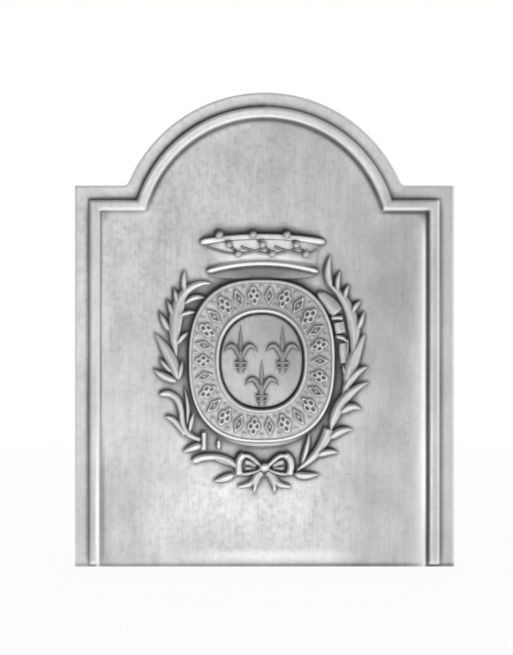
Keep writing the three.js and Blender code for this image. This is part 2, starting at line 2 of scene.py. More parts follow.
# # A small cast-iron fireback
#
# A fireback is a thick iron plate that stands behind the fire. It is poured in one piece into a mould of
# sand, so everything on its front is one relief: a surface that rises and falls over a flat face. The
# lesson builds that relief piece by piece around a CAD frame, then finishes it as wire-brushed iron with
# stove polish left in the hollows, and paints shade and highlights over the relief as well. Formulas work
# in millimetres; only the finished mesh is in metres.

# %% Load the frame
import bpy
import numpy as np
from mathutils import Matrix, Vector


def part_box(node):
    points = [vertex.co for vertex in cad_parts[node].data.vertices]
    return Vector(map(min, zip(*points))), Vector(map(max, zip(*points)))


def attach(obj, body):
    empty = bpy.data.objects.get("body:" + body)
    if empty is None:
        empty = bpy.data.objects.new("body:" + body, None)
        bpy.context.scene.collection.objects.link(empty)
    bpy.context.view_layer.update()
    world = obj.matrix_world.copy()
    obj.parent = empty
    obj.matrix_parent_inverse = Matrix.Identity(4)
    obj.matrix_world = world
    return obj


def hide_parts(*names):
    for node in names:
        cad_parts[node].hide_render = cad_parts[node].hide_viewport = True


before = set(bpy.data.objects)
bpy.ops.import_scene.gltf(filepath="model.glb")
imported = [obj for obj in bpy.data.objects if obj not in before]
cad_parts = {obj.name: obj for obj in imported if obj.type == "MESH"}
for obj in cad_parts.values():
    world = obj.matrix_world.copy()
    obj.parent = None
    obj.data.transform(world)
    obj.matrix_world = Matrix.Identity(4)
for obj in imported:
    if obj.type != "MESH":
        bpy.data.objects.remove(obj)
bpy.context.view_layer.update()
MM = 0.001


def box_mm(node):
    """The lowest and highest corner of a CAD node, in millimetres."""
    low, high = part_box(node)
    return np.array(low) / MM, np.array(high) / MM


plate_low, plate_high = box_mm("back_plate")
plate_width = plate_high[0] - plate_low[0]
plate_height = plate_high[2]
face_y = plate_low[1]
print("plate", plate_width, "x", plate_height, "mm, face at y", face_y)

# %% [markdown]
# ## From surfaces to meshes
#
# Every piece here is a skin: a grid of points, row after row. The grid closes on itself in one direction,
# as a tube does, and either closes in the other direction too or ends in two caps. One function turns any
# number of skins into one mesh, so each later cell only has to say where its points go.

# %% Skins and meshes
relief_pieces = {}


def skin_faces(rows, columns, looped):
    """Quads between neighbouring rows and columns; the columns always close on themselves."""
    row = np.arange(rows if looped else rows - 1)[:, None]
    column = np.arange(columns)[None, :]
    here = row * columns + column
    right = row * columns + (column + 1) % columns
    above = ((row + 1) % rows) * columns + column
    above_right = ((row + 1) % rows) * columns + (column + 1) % columns
    return np.stack([here, right, above_right, above], -1).reshape(-1, 4)


def closed_skin(rings, looped=False):
    """Points and faces of one closed skin. rings is rows x columns x 3. The faces are turned outwards:
    the sum of height times area over all faces, its volume, must come out above zero."""
    rows, columns, _ = rings.shape
    points = rings.reshape(-1, 3)
    quads = skin_faces(rows, columns, looped)
    first_ring = list(range(columns - 1, -1, -1))
    last_ring = list(range((rows - 1) * columns, rows * columns))
    caps = [] if looped else [first_ring, last_ring]
    a, b, c, d = (points[quads[:, k]] for k in range(4))
    volume = np.einsum("ij,ij->i", a, np.cross(b, c) + np.cross(c, d)).sum()
    if volume < 0:
        quads = quads[:, ::-1]
        caps = [cap[::-1] for cap in caps]
    return points, quads, caps


def add_piece(name, skins, nodes, shade=0.0, looped=False):
    """Keeps the skins of one piece until its finish is known. nodes are the CAD solids that it replaces.
    shade above zero is painted shade laid on it beside what its relief asks for, below zero it is a
    painted highlight."""
    closed = [closed_skin(rings, looped) for rings in skins]
    relief_pieces[name] = {"skins": closed, "nodes": nodes, "shade": shade}


def on_face(x, level, z):
    """Points at a level in millimetres above the plate's face, which looks towards -Y."""
    return np.stack(np.broadcast_arrays(x, face_y - level, z), -1)


# %% [markdown]
# ## Strokes
#
# Leaves, petals, ribbons and bars all have the same plan: a line with a width. A carver cuts them with
# one tool, drawn along a line while it tilts and lifts. stroke() does the same. It lays a cross-section
# along a curve: a crowned blade, steep sides, and a small hollow fillet, called a cove, where the side
# meets the face. The cove dives under the face, so the piece always sits in the casting and never on it.

# %% Carve a stroke
# The cove's cross-section: millimetres out from the blade's edge, and its level as a share of the edge's
# level. The last place lies that many millimetres under the face. SINK is how deep a piece sits.
COVE = np.array([[0.3, 0.5], [0.8, 0.16], [1.5, 0.02], [2.0, -0.12]])
SINK = 1.2


def bezier(places, steps):
    """Places and headings along a quadratic curve from the first place, bent towards the second."""
    v = np.linspace(0, 1, steps)[:, None]
    root, bend, tip = (np.array(place, float) for place in places)
    centre = (1 - v) ** 2 * root + 2 * v * (1 - v) * bend + v ** 2 * tip
    heading = 2 * (1 - v) * (bend - root) + 2 * v * (tip - bend)
    return centre, heading / np.linalg.norm(heading, axis=1, keepdims=True)


def smooth_path(places, steps):
    """Places and headings along a line that turns softly through the places: each coordinate is
    interpolated over the path's length and then averaged with its neighbours."""
    places = np.array(places, float)
    length = np.r_[0, np.cumsum(np.linalg.norm(np.diff(places, axis=0), axis=1))]
    share = np.linspace(0, length[-1], steps)
    line = np.stack([np.interp(share, length, places[:, k]) for k in (0, 1)], -1)
    reach = max(1, steps // (2 * len(places)))
    for _ in range(2):
        padded = np.vstack([2 * line[0] - line[reach:0:-1], line, 2 * line[-1] - line[-2:-reach - 2:-1]])
        total = np.cumsum(np.vstack([np.zeros((1, 2)), padded]), axis=0)
        line = (total[2 * reach + 1:] - total[:-2 * reach - 1]) / (2 * reach + 1)
    heading = np.gradient(line, axis=0)
    return line, heading / np.linalg.norm(heading, axis=1, keepdims=True)


def crowned(q, ridge=0.45):
    """A blade's cross-section: a share of a roof with its ridge in the middle, and the rest an arc."""
    return ridge * (1 - np.abs(q)) + (1 - ridge) * np.sqrt(np.clip(1 - q ** 2, 0, 1))


def stroke(path, half, rise, edge, section=crowned, ground=None, across=17, cove=1.0):
    """A closed skin along a path. half, rise and edge are arrays along it: half the width, the level of
    the ridge and the level of the edge, all above ground(x, z). Across the path the level is the edge's
    plus what is left up to the ridge times section(q), with q from -1 to 1; the cove follows outside."""
    centre, heading = path
    side = np.stack([heading[:, 1], -heading[:, 0]], -1)
    q = np.sin(np.linspace(-np.pi / 2, np.pi / 2, across))
    blade_level = edge[:, None] + (rise - edge)[:, None] * section(q)[None, :]
    blade_offset = half[:, None] * q[None, :]
    cove_reach = np.minimum(1, half / half.max() * 1.6)[:, None] * cove
    out = half[:, None] + COVE[None, :, 0] * cove_reach
    foot = edge[:, None] * np.clip(COVE[None, :, 1], 0, 1) + np.minimum(COVE[None, :, 1], 0)
    under = np.full((len(centre), 1), -SINK)
    middle = np.zeros((len(centre), 1))
    offset = np.hstack([middle, -out[:, -1:], -out[:, ::-1], blade_offset, out, out[:, -1:]])
    level = np.hstack([under, under, foot[:, ::-1], blade_level, foot, under])
    x = centre[:, :1] + side[:, :1] * offset
    z = centre[:, 1:] + side[:, 1:] * offset
    if ground is not None:
        level = level + ground(x, z)
    return on_face(x, level, z)


def leaf_half(width, v):
    """Half the width of a pointed leaf at the share v of its length: a sine over v to the power 0.75,
    itself to the power 0.7. It is widest at two fifths and never thinner than a blunt tip."""
    blunt_tip = 0.12
    return np.maximum(blunt_tip, width / 2 * np.clip(np.sin(np.pi * v ** 0.75), 0, 1) ** 0.7)


# %% [markdown]
# ## The finish, first in words
#
# The real plate is grey cast iron. After casting it is brushed up and down with a wire wheel and rubbed
# with graphite stove polish. The brush brightens what stands proud and can't reach the hollows, where the
# black paste stays. The finish follows the relief, and so do the painted shade and painted highlights laid
# over it: a raster of the whole front, the height map, tells every point how far it lies below what
# surrounds it.

# %% The height map
CELL = 0.5
MARGIN = 12
map_columns = int((plate_width + 2 * MARGIN) / CELL) + 1
map_rows = int((plate_height + 2 * MARGIN) / CELL) + 1
height_map = np.zeros((map_rows, map_columns))


def stamp(rings):
    """Prints a skin onto the height map: the grid is refined until its points lie closer than a cell,
    and each cell keeps the highest level that falls in it."""
    x, z, level = rings[..., 0], rings[..., 2], face_y - rings[..., 1]
    for axis in (0, 1):
        step = max(np.abs(np.diff(x, axis=axis)).max(), np.abs(np.diff(z, axis=axis)).max())
        parts = int(min(24, np.ceil(step / (0.8 * CELL))))
        count = x.shape[axis]
        at = np.linspace(0, count - 1, (count - 1) * parts + 1)
        low = np.minimum(at.astype(int), count - 2)
        share = (at - low)[:, None] if axis == 0 else (at - low)[None, :]
        x, z, level = (
            np.take(f, low, axis) * (1 - share) + np.take(f, low + 1, axis) * share for f in (x, z, level)
        )
    column = np.clip(((x + plate_width / 2 + MARGIN) / CELL).round().astype(int), 0, map_columns - 1)
    row = np.clip(((z + MARGIN) / CELL).round().astype(int), 0, map_rows - 1)
    np.maximum.at(height_map, (row.ravel(), column.ravel()), level.ravel())


def add_strokes(name, strokes, nodes, shade=0.0, balls=()):
    """Adds a piece made of strokes and balls and prints them onto the height map. A stroke's two first
    columns and its last one lie under the face, so they aren't printed."""
    add_piece(name, [*balls, *strokes], nodes, shade)
    for rings in balls:
        stamp(rings)
    for rings in strokes:
        stamp(rings[:, 2:-1])


def blurred(field, reach):
    """The field averaged with a bell curve of the given reach in millimetres, through its spectrum."""
    rows = np.fft.fftfreq(field.shape[0], CELL)[:, None]
    columns = np.fft.rfftfreq(field.shape[1], CELL)[None, :]
    bell = np.exp(-2 * (np.pi * reach) ** 2 * (rows ** 2 + columns ** 2))
    return np.fft.irfft2(np.fft.rfft2(field) * bell, s=field.shape)


def read_map(field, x, z):
    """The field's value at places on the front, mixed from the four nearest cells."""
    column = np.clip((x + plate_width / 2 + MARGIN) / CELL, 0, map_columns - 1.001)
    row = np.clip((z + MARGIN) / CELL, 0, map_rows - 1.001)
    c, r = column.astype(int), row.astype(int)
    a, b = column - c, row - r
    low = field[r, c] * (1 - a) + field[r, c + 1] * a
    high = field[r + 1, c] * (1 - a) + field[r + 1, c + 1] * a
    return low * (1 - b) + high * b


# %% [markdown]
# ## Materials
#
# Three finishes. Brushed, blackened iron for the front, with painted shade and painted highlights. Bare
# sand-cast iron for the back and the feet, which nobody polishes. Turned steel for the screws. Colours are
# written as sRGB hex and turned linear by one function; patterns are written as the size of their grain in
# millimetres. A colour is built up as on the bench: a ground, and over it one layer after the other, each
# where its pattern is strong.

# %% Colours, nodes and layers
def linear(hex_colour):
    """An sRGB hex colour as linear RGBA."""
    channels = np.array([int(hex_colour[i:i + 2], 16) for i in (1, 3, 5)]) / 255
    value = np.where(channels <= 0.04045, channels / 12.92, ((channels + 0.055) / 1.055) ** 2.4)
    return (*value, 1)


def add(tree, kind, sockets=None, **settings):
    """Adds one node. settings are its own properties. sockets maps a socket's name or number to another
    node's output, which is linked to it, or to a value."""
    node = tree.nodes.new(kind)
    for name, value in settings.items():
        setattr(node, name, value)
    for key, value in (sockets or {}).items():
        if isinstance(value, bpy.types.NodeSocket):
            tree.links.new(value, node.inputs[key])
        else:
            node.inputs[key].default_value = value
    return node


def span(value, low, high, start=0.0, end=1.0):
    """Sockets of a Map Range node: start while the value is below low, end above high."""
    return {"Value": value, "From Min": low, "From Max": high, "To Min": start, "To Max": end}


def empty_material(name):
    """A material with an empty node tree, and that tree."""
    material = bpy.data.materials.new(name)
    material.use_nodes = True
    material.node_tree.nodes.clear()
    return material, material.node_tree


def grain(tree, place, size_mm, stretch=(1, 1, 1), detail=3.0):
    """A pattern of irregular grains that are size_mm wide; stretch makes them longer along an axis."""
    scale = [1 / (size_mm * MM * longer) for longer in stretch]
    mapping = add(tree, "ShaderNodeMapping", {"Vector": place, "Scale": scale})
    sockets = {"Vector": mapping.outputs[0], "Scale": 1.0, "Detail": detail, "Roughness": 0.55}
    return add(tree, "ShaderNodeTexNoise", sockets).outputs[0]


def layered(tree, below, colour, pattern, low=0.0, high=1.0, most=1.0):
    """Lays a colour over what is below: none while the pattern is under low, the share most of it where
    the pattern is over high, and on a straight slope between."""
    share = add(tree, "ShaderNodeMapRange", span(pattern, low, high, 0.0, most)).outputs[0]
    mix = add(tree, "ShaderNodeMix", {0: share, 6: below, 7: linear(colour)}, data_type="RGBA")
    return mix.outputs[2]


# %% [markdown]
# ### Brushed and blackened iron, with painted shade and painted highlights
#
# The front. The ground is two greys in clouds, because the polish takes unevenly. Over it lie the brush's
# marks, blotches of old polish and pits from the sand. Last come the two values that every vertex brings
# from the relief: rubbed bright, which is wear plus painted highlights, and blackened, which is polish in
# the hollows plus painted shade. It isn't a full metal, since the dry graphite on it scatters light as
# well.

# %% Brushed iron
def brushed_iron_with_painted_light():
    """Grey cast iron under a wire brush and stove polish, with painted shade and painted highlights read
    from its vertices. The brush marks run up and down, 1.6 mm apart: coarser than real ones, so that they
    show in a small picture."""
    material, tree = empty_material("cast_iron_brushed_with_painted_light_and_shade")
    place = add(tree, "ShaderNodeTexCoord").outputs["Object"]
    hollow = add(tree, "ShaderNodeAttribute", attribute_name="hollow").outputs["Fac"]
    rubbed = add(tree, "ShaderNodeAttribute", attribute_name="rubbed").outputs["Fac"]
    marks = grain(tree, place, 1.6, stretch=(1, 1, 28), detail=2.0)
    clouds = grain(tree, place, 42.0, stretch=(1, 1, 1.5), detail=4.0)
    blotches = grain(tree, place, 5.5)
    pits = grain(tree, place, 3.2, detail=1.0)

    base = layered(tree, linear("#BDBDBD"), "#D4D4D4", clouds, 0.35, 0.66)
    base = layered(tree, base, "#909090", marks, 0.42, 0.62, 0.12)
    base = layered(tree, base, "#7E7E7E", blotches, 0.5, 0.7, 0.1)
    base = layered(tree, base, "#626262", pits, 0.7, 0.78, 0.35)
    # Bright layer: wear on proud parts plus painted highlights, from the rubbed value.
    base = layered(tree, base, "#F8F8F7", rubbed)
    # Dark layer: polish in the creases plus painted shade, from the hollow value.
    base = layered(tree, base, "#2B2B2B", hollow)
    rough = add(tree, "ShaderNodeMapRange", span(blotches, 0.3, 0.7, 0.42, 0.56))
    relief = add(tree, "ShaderNodeMath", {0: marks, 1: blotches}, operation="ADD")
    bump = {"Height": relief.outputs[0], "Strength": 0.22, "Distance": 0.25 * MM}
    shader = add(tree, "ShaderNodeBsdfPrincipled", {
        "Base Color": base, "Metallic": 0.75, "Roughness": rough.outputs[0],
        "Normal": add(tree, "ShaderNodeBump", bump).outputs[0],
    })
    add(tree, "ShaderNodeOutputMaterial", {"Surface": shader.outputs[0]})
    return material


# %% [markdown]
# ### Iron as cast, and turned steel
#
# The back and the feet keep the skin that the sand gave them, near black and dull. The screws and washers
# are plain machined steel with a thin film of oil.

# %% Cast iron and steel
def sand_cast_iron():
    """Iron as it leaves the sand: near black, dull, with the print of 1.2 mm clumps of sand."""
    material, tree = empty_material("cast_iron_as_cast_in_sand")
    place = add(tree, "ShaderNodeTexCoord").outputs["Object"]
    sand = grain(tree, place, 1.2)
    clouds = grain(tree, place, 30.0, detail=4.0)
    base = layered(tree, linear("#3E3F41"), "#59595B", clouds, 0.35, 0.65)
    base = layered(tree, base, "#2B2B2C", sand, 0.55, 0.7, 0.5)
    rough = add(tree, "ShaderNodeMapRange", span(clouds, 0.3, 0.7, 0.62, 0.8))
    bump = {"Height": sand, "Strength": 0.5, "Distance": 0.3 * MM}
    shader = add(tree, "ShaderNodeBsdfPrincipled", {
        "Base Color": base, "Metallic": 0.6, "Roughness": rough.outputs[0],
        "Normal": add(tree, "ShaderNodeBump", bump).outputs[0],
    })
    add(tree, "ShaderNodeOutputMaterial", {"Surface": shader.outputs[0]})
    return material


def turned_steel():
    """Machined steel: grey, half bright, a full metal, with its oily film in 4 mm patches."""
    material, tree = empty_material("steel_turned_and_oiled")
    place = add(tree, "ShaderNodeTexCoord").outputs["Object"]
    film = grain(tree, place, 4.0, detail=2.0)
    base = layered(tree, linear("#77797B"), "#9A9C9E", film, 0.35, 0.65)
    rough = add(tree, "ShaderNodeMapRange", span(film, 0.3, 0.7, 0.3, 0.42))
    shader = add(tree, "ShaderNodeBsdfPrincipled", {
        "Base Color": base, "Metallic": 1.0, "Roughness": rough.outputs[0],
    })
    add(tree, "ShaderNodeOutputMaterial", {"Surface": shader.outputs[0]})
    return material


iron = brushed_iron_with_painted_light()
rough_iron = sand_cast_iron()
steel = turned_steel()
print("materials:", [m.name for m in bpy.data.materials])

# %% [markdown]
# ## The plate
#
# A rectangle with an arch on its top. Its outline is walked once, in small steps, and every ring of the
# skin is that walk shrunk towards a middle place or pulled in by the rounding of the edge. That gives one
# closed skin for front, edge and back. The face isn't dead flat: the iron shrinks unevenly as it cools in
# the sand, so it rolls by a few tenths of a millimetre, and that makes the soft clouds in its shine.

# %% The outline
# In millimetres. BEAD_FOOT is how far from the bottom middle the outline's places lie whose columns of the
# skin pass the feet of the two beads. Painted bright and dark strips end there and need a finer mesh, over
# FINE_REACH to either side.
shoulder_z = 402
arch_radius = 156
arch_z = plate_height - arch_radius
neck_fillet = 5
edge_round = 3
plate_thickness = 2 * abs(face_y)
BEAD_FOOT = 183
FINE_REACH = 14


def arc(x, z, radius, start, end, steps=60):
    """Places along an arc: its centre plus the radius times the cosine and the sine of the angle."""
    angle = np.linspace(start, end, steps)
    return np.stack([x + radius * np.cos(angle), z + radius * np.sin(angle)], -1)


def plate_outline(inset, count):
    """The plate's outline pulled in by inset, as count places from the bottom middle. They are evenly
    spaced, but four times closer about the foot of each bead, where painted bright and dark strips end."""
    half, top, radius = plate_width / 2 - inset, shoulder_z - inset, arch_radius - inset
    fillet = neck_fillet + inset
    fillet_z = top + fillet
    fillet_x = np.sqrt((radius + fillet) ** 2 - (fillet_z - arch_z) ** 2)
    turn = np.arctan2(fillet_z - arch_z, fillet_x)
    corner = [[half, inset], [half, top]]
    neck = arc(fillet_x, fillet_z, fillet, -np.pi / 2, turn - np.pi)
    over = arc(0, arch_z, radius, turn, np.pi / 2, 200)
    right = np.vstack([[[0, inset]], corner, neck, over])
    left = right[::-1] * [-1, 1]
    line = np.vstack([right, left[1:]])
    length = np.r_[0, np.cumsum(np.linalg.norm(np.diff(line, axis=0), axis=1))]
    fine = np.linspace(0, length[-1], 4001)
    nearness = np.minimum(np.abs(fine - BEAD_FOOT), np.abs(length[-1] - fine - BEAD_FOOT))
    density = np.cumsum(1 + 3 * np.exp(-(nearness / FINE_REACH) ** 2))
    at = np.interp(np.linspace(0, density[-1], count, endpoint=False), density, fine)
    return np.stack([np.interp(at, length, line[:, k]) for k in (0, 1)], -1)


def plate_inset(x, z):
    """How far a place lies in from the plate's outline: the larger of its distances in from the box and
    in from the arch."""
    in_box = np.minimum(plate_width / 2 - np.abs(x), shoulder_z - z)
    return np.maximum(in_box, arch_radius - np.hypot(x, z - arch_z))


FILLET_RISE = 1.2
FILLET_INSET = 30.5
FILLET_FADE = 5
FIELD_INSET = 20


def right_fillet(x, z):
    """The field's hollow rise towards the right-hand bead: full at the bead's foot, dying out with an
    exponential inwards, and also towards the shoulder and the bottom."""
    along = (x > 0) * np.clip((378 - z) / 30, 0, 1) * np.clip((z - 10) / 60, 0.3, 1)
    return FILLET_RISE * along * np.exp(-np.clip(plate_inset(x, z) - FILLET_INSET, 0, None) / FILLET_FADE)


def rolling(x, z):
    """How far the cast face rolls: three slow waves, at most a third of a millimetre together."""
    return (
        0.14 * np.sin(x / 47 + 0.6) * np.sin(z / 61 + 1.1)
        + 0.1 * np.sin((x + z) / 33)
        + 0.06 * np.sin(x / 15 - z / 23)
    )


# %% [markdown]
# ### The plate as one skin
#
# The rings lie closest where the relief's creases and the moulding are, because the finish is stored at
# the vertices and can't be sharper than the mesh.

# %% The plate's skin
OUTLINE_PLACES = 640
FACE_SHARES = np.r_[
    np.linspace(0.004, 0.2, 5), np.linspace(0.2, 0.66, 76)[1:], np.linspace(0.66, 0.8, 9)[1:],
    np.linspace(0.8, 0.997, 28)[1:],
]
ring_middle = np.array([0, plate_height / 2])
edge_angle = np.linspace(0, np.pi / 2, 6)
edge_inset = edge_round * (1 - np.sin(edge_angle))
edge_back = edge_round * (1 - np.cos(edge_angle))
outline = plate_outline(edge_round, OUTLINE_PLACES)


def plate_ring(places, depth):
    """A ring of the plate's skin at a depth behind the face."""
    return np.stack([places[:, 0], np.full(len(places), face_y) + depth, places[:, 1]], -1)


def face_ring(share, back):
    """A ring of the front or the back: the edge's inner outline shrunk towards the middle place. The
    rolling dies out at the edge, and the back rolls half as much."""
    places = ring_middle + (outline - ring_middle) * share
    x, z = places.T
    roll = rolling(x, z) * np.minimum(1, (1 - share) * 12)
    if back:
        return plate_ring(places, plate_thickness - 0.5 * roll)
    fillet = right_fillet(x, z) * (plate_inset(x, z) > FIELD_INSET)
    return plate_ring(places, -roll - fillet)


front_rings = [face_ring(share, False) for share in FACE_SHARES]
edge_front = [plate_ring(plate_outline(i, OUTLINE_PLACES), d) for i, d in zip(edge_inset, edge_back)]
edge_rear = [
    plate_ring(plate_outline(i, OUTLINE_PLACES), plate_thickness - d)
    for i, d in zip(edge_inset[::-1], edge_back[::-1])
]
back_rings = [face_ring(share, True) for share in np.linspace(0.98, 0.004, 12)]
plate_skin = np.stack(front_rings + edge_front + edge_rear + back_rings)
add_piece("plate_casting", [plate_skin], ["back_plate"])
print("plate skin", plate_skin.shape)

# %% [markdown]
# ## The moulding
#
# A half-round bead frames the field, with a mitre at every corner. Its cross-section is a function of the
# distance in from the plate's outline, carried along the five straight and curved lengths. Because every
# length asks for the same insets, the mitres close by themselves.

# %% Bead
# The bead is flatter than a half circle: its level falls with the power BEAD_FLATNESS of the distance
# from its middle line, and the power BEAD_SHOULDER rounds what that leaves.
border_inset = 15.5
border_width = 12.3
border_rise = 6
bead_edge = 0.7
BEAD_FLATNESS = 3.6
BEAD_SHOULDER = 0.62
bead = np.linspace(-1, 1, 25)
bead_inset = border_inset + border_width * (0.5 + 0.5 * np.sin(bead * np.pi / 2))
bead_q = np.abs(np.sin(bead * np.pi / 2))
bead_round = np.clip(1 - bead_q ** BEAD_FLATNESS, 0, 1) ** BEAD_SHOULDER
bead_level = bead_edge + (border_rise - bead_edge) * bead_round
section_inset = np.r_[
    bead_inset[0] - COVE[::-1, 0], bead_inset, bead_inset[-1] + COVE[:, 0],
    bead_inset[-1] + COVE[-1, 0], bead_inset[0] - COVE[-1, 0],
]
section_level = np.r_[COVE[::-1, 1] * bead_edge, bead_level, COVE[:, 1] * bead_edge, -SINK, -SINK]


def bead_line(inset, per_length=(190, 40, 260, 40, 190)):
    """The line at one inset, from the bottom left over the arch to the bottom right."""
    half, top, radius = plate_width / 2 - inset, shoulder_z - inset, arch_radius - inset
    turn = np.arcsin((top - arch_z) / radius)
    neck = radius * np.cos(turn)
    arch_angle = np.linspace(np.pi - turn, turn, per_length[2])
    up = np.linspace(0, 1, per_length[0])
    along = np.linspace(0, 1, per_length[1])
    left = np.stack([0 * up - half, edge_round + (top - edge_round) * up], -1)
    shoulder = np.stack([-half + (half - neck) * along, 0 * along + top], -1)
    over = np.stack([radius * np.cos(arch_angle), arch_z + radius * np.sin(arch_angle)], -1)
    mirror = [shoulder[::-1] * [-1, 1], left[::-1] * [-1, 1]]
    return np.vstack([left, shoulder, over, *mirror])


def softened(line, weights=(1, 2, 3, 2, 1)):
    """The line with each place averaged with its neighbours: a brush wears the mitres round."""
    ends = np.vstack([line[:1], line[:1], line, line[-1:], line[-1:]])
    soft = sum(w * ends[i:i + len(line)] for i, w in enumerate(weights)) / sum(weights)
    soft[[0, 1, -2, -1]] = line[[0, 1, -2, -1]]
    return soft


lines = np.stack([softened(bead_line(inset)) for inset in section_inset], 1)
moulding = on_face(lines[..., 0], section_level[None, :], lines[..., 1])
border_nodes = [
    "border_left", "border_left_shoulder", "border_arch", "border_right_shoulder", "border_right",
]
add_piece("border_moulding", [moulding], border_nodes)
stamp(moulding)
print("moulding skin", moulding.shape)

# %% [markdown]
# ## The medallion
#
# An oval that is squarer than an ellipse, a superellipse. The ring between two of them carries an
# ornament. A ring skin needs only a profile, level against distance in from the rim, turned round the
# oval: wall, thin outer lip, groove, face, thick inner lip.

# %% Ovals
band_low, band_high = box_mm("medallion_band")
dome_low, dome_high = box_mm("medallion_dome")
medallion_x, _, medallion_z = (band_low + band_high) / 2
band_half = (band_high - band_low)[[0, 2]] / 2
dome_half = (dome_high - dome_low)[[0, 2]] / 2
band_width = band_half[0] - dome_half[0]
RIM_SQUARENESS = 2.55
DOME_SQUARENESS = 2.2


def oval_radius(angle, half, squareness, outset=0):
    """Distance from the centre to a squarish oval: the power mean of its two half sizes."""
    across = np.abs(np.cos(angle) / (half[0] + outset)) ** squareness
    up = np.abs(np.sin(angle) / (half[1] + outset)) ** squareness
    return (across + up) ** (-1 / squareness)


def lowest_part(angle):
    """1 at the very bottom of the oval, gone a quarter turn away: the eighth power of the downward sine."""
    return np.clip(-np.sin(angle), 0, 1) ** 8


def on_ring(angle, inset):
    """Places on the medallion: inset 0 is its rim, band_width the dome's edge. Outside the rim lies the
    wall, which flares at the very bottom."""
    flare = 1 + 1.8 * lowest_part(angle)
    rim = oval_radius(angle, band_half, RIM_SQUARENESS, np.maximum(0, -inset) * flare)
    inner = oval_radius(angle, dome_half, DOME_SQUARENESS)
    mix = np.clip(inset / band_width, 0, 1)
    radius = rim * (1 - mix) + inner * mix
    return medallion_x + radius * np.cos(angle), medallion_z + radius * np.sin(angle)


# %% [markdown]
# ### The ring's ornament
#
# The ring is filled with a generic frieze: upright lozenges with a pearl in them, and four-petalled
# flowers, in turn, with small pellets between. Each is a function of two distances from the motif's
# centre, a along the ring and b across it, and stands about 3 mm proud. Every edge is a rounded ridge
# round a given distance, as a carver's veining tool leaves it.

# %% Frieze
MOTIFS = 26
FRIEZE_RISE = 3.0
LOZENGE_HALF = (5.2, 9.2)
PETAL_PLACES = ((3.4, 0), (-3.4, 0), (0, 3.9), (0, -3.9))
PETAL_RADIUS = 2.4
PELLET_ACROSS = 8.2
ring_angles = np.linspace(0, 2 * np.pi, 1101)
middle_x, middle_z = on_ring(ring_angles, band_width * 0.47)
ring_length = np.r_[0, np.cumsum(np.hypot(np.diff(middle_x), np.diff(middle_z)))]
motif_pitch = ring_length[-1] / MOTIFS
print("frieze of", MOTIFS, "motifs,", round(motif_pitch, 1), "mm apart")


def bump_at(distance, place, width):
    """A smooth ridge where a distance equals place."""
    return np.exp(-(((distance - place) / width) ** 2))


def lozenge(a, b):
    """An upright lozenge with a raised rim, where the two shares of its half sizes add up to 0.8, and a
    pearl in its middle."""
    share = np.abs(a) / LOZENGE_HALF[0] + np.abs(b) / LOZENGE_HALF[1]
    return np.maximum(bump_at(share, 0.8, 0.21), bump_at(np.hypot(a, b), 0, 1.9))


def quatrefoil(a, b):
    """Four round petals, each with a raised rim at PETAL_RADIUS, about a pearl."""
    petals = [
        bump_at(np.hypot(a - petal_a, b * 0.82 - petal_b), PETAL_RADIUS, 1.15)
        for petal_a, petal_b in PETAL_PLACES
    ]
    return np.maximum(np.maximum.reduce(petals) * 0.9, bump_at(np.hypot(a, b), 0, 1.6))


def frieze(along, across):
    """The ornament's level as a share: along and across are millimetres on the ring. Even motifs are
    lozenges, odd ones flowers, and a pellet stands on either side half way between two."""
    step = along / motif_pitch
    index = np.round(step)
    a = (step - index) * motif_pitch
    shape = np.where(index % 2 == 0, lozenge(a, across), quatrefoil(a, across))
    between = np.abs(np.abs(a) - motif_pitch / 2)
    pellet_distance = np.hypot(between, np.abs(across) - PELLET_ACROSS)
    return np.maximum(shape, 0.8 * bump_at(pellet_distance, 0, 1.3))


# %% [markdown]
# ### The ring as one skin
#
# The profile is cut down from a steep wall with a cove at its foot. At the bottom of the oval the wall
# stands on a ledge, a second, lower step that fades out up both sides.

# %% Ring skin
WALL_INSETS = [-2.0, -1.5, -0.8, -0.3, 0.0, 0.3, 0.7]
WALL_LEVELS = [-0.2, 0.05, 0.4, 1.6, 5.2, 6.6, 7.0]
LEDGE_LEVELS = [0, 3.3, 3.4, 2.4, 0]
lip_width = 3
inner_lip_width = 5
face_from, face_to = lip_width + 1.2, band_width - inner_lip_width - 0.8
ring_insets = np.r_[
    WALL_INSETS[:6], 0.6, np.linspace(0.9, face_from, 10),
    np.linspace(face_from, face_to, 46)[1:], np.linspace(face_to, band_width - 0.3, 16)[1:],
]


def ring_profile(inset):
    """Level of the plain ring: the wall's run of levels, plus ridges for its two lips, minus a groove and
    the fall to the dome."""
    wall = np.interp(inset, WALL_INSETS, WALL_LEVELS)
    outer_lip = 1.2 * bump_at(inset, 1.9, 0.75) + 0.35 * bump_at(inset, 0.5, 0.45)
    groove = 0.5 * bump_at(inset, 3.4, 0.5)
    inner_lip = 2.2 * bump_at(inset, band_width - inner_lip_width / 2 - 0.2, 1.5)
    fall = np.interp(inset, [band_width - 1.0, band_width - 0.3], [0, 2.2])
    return wall + outer_lip - groove + inner_lip - fall


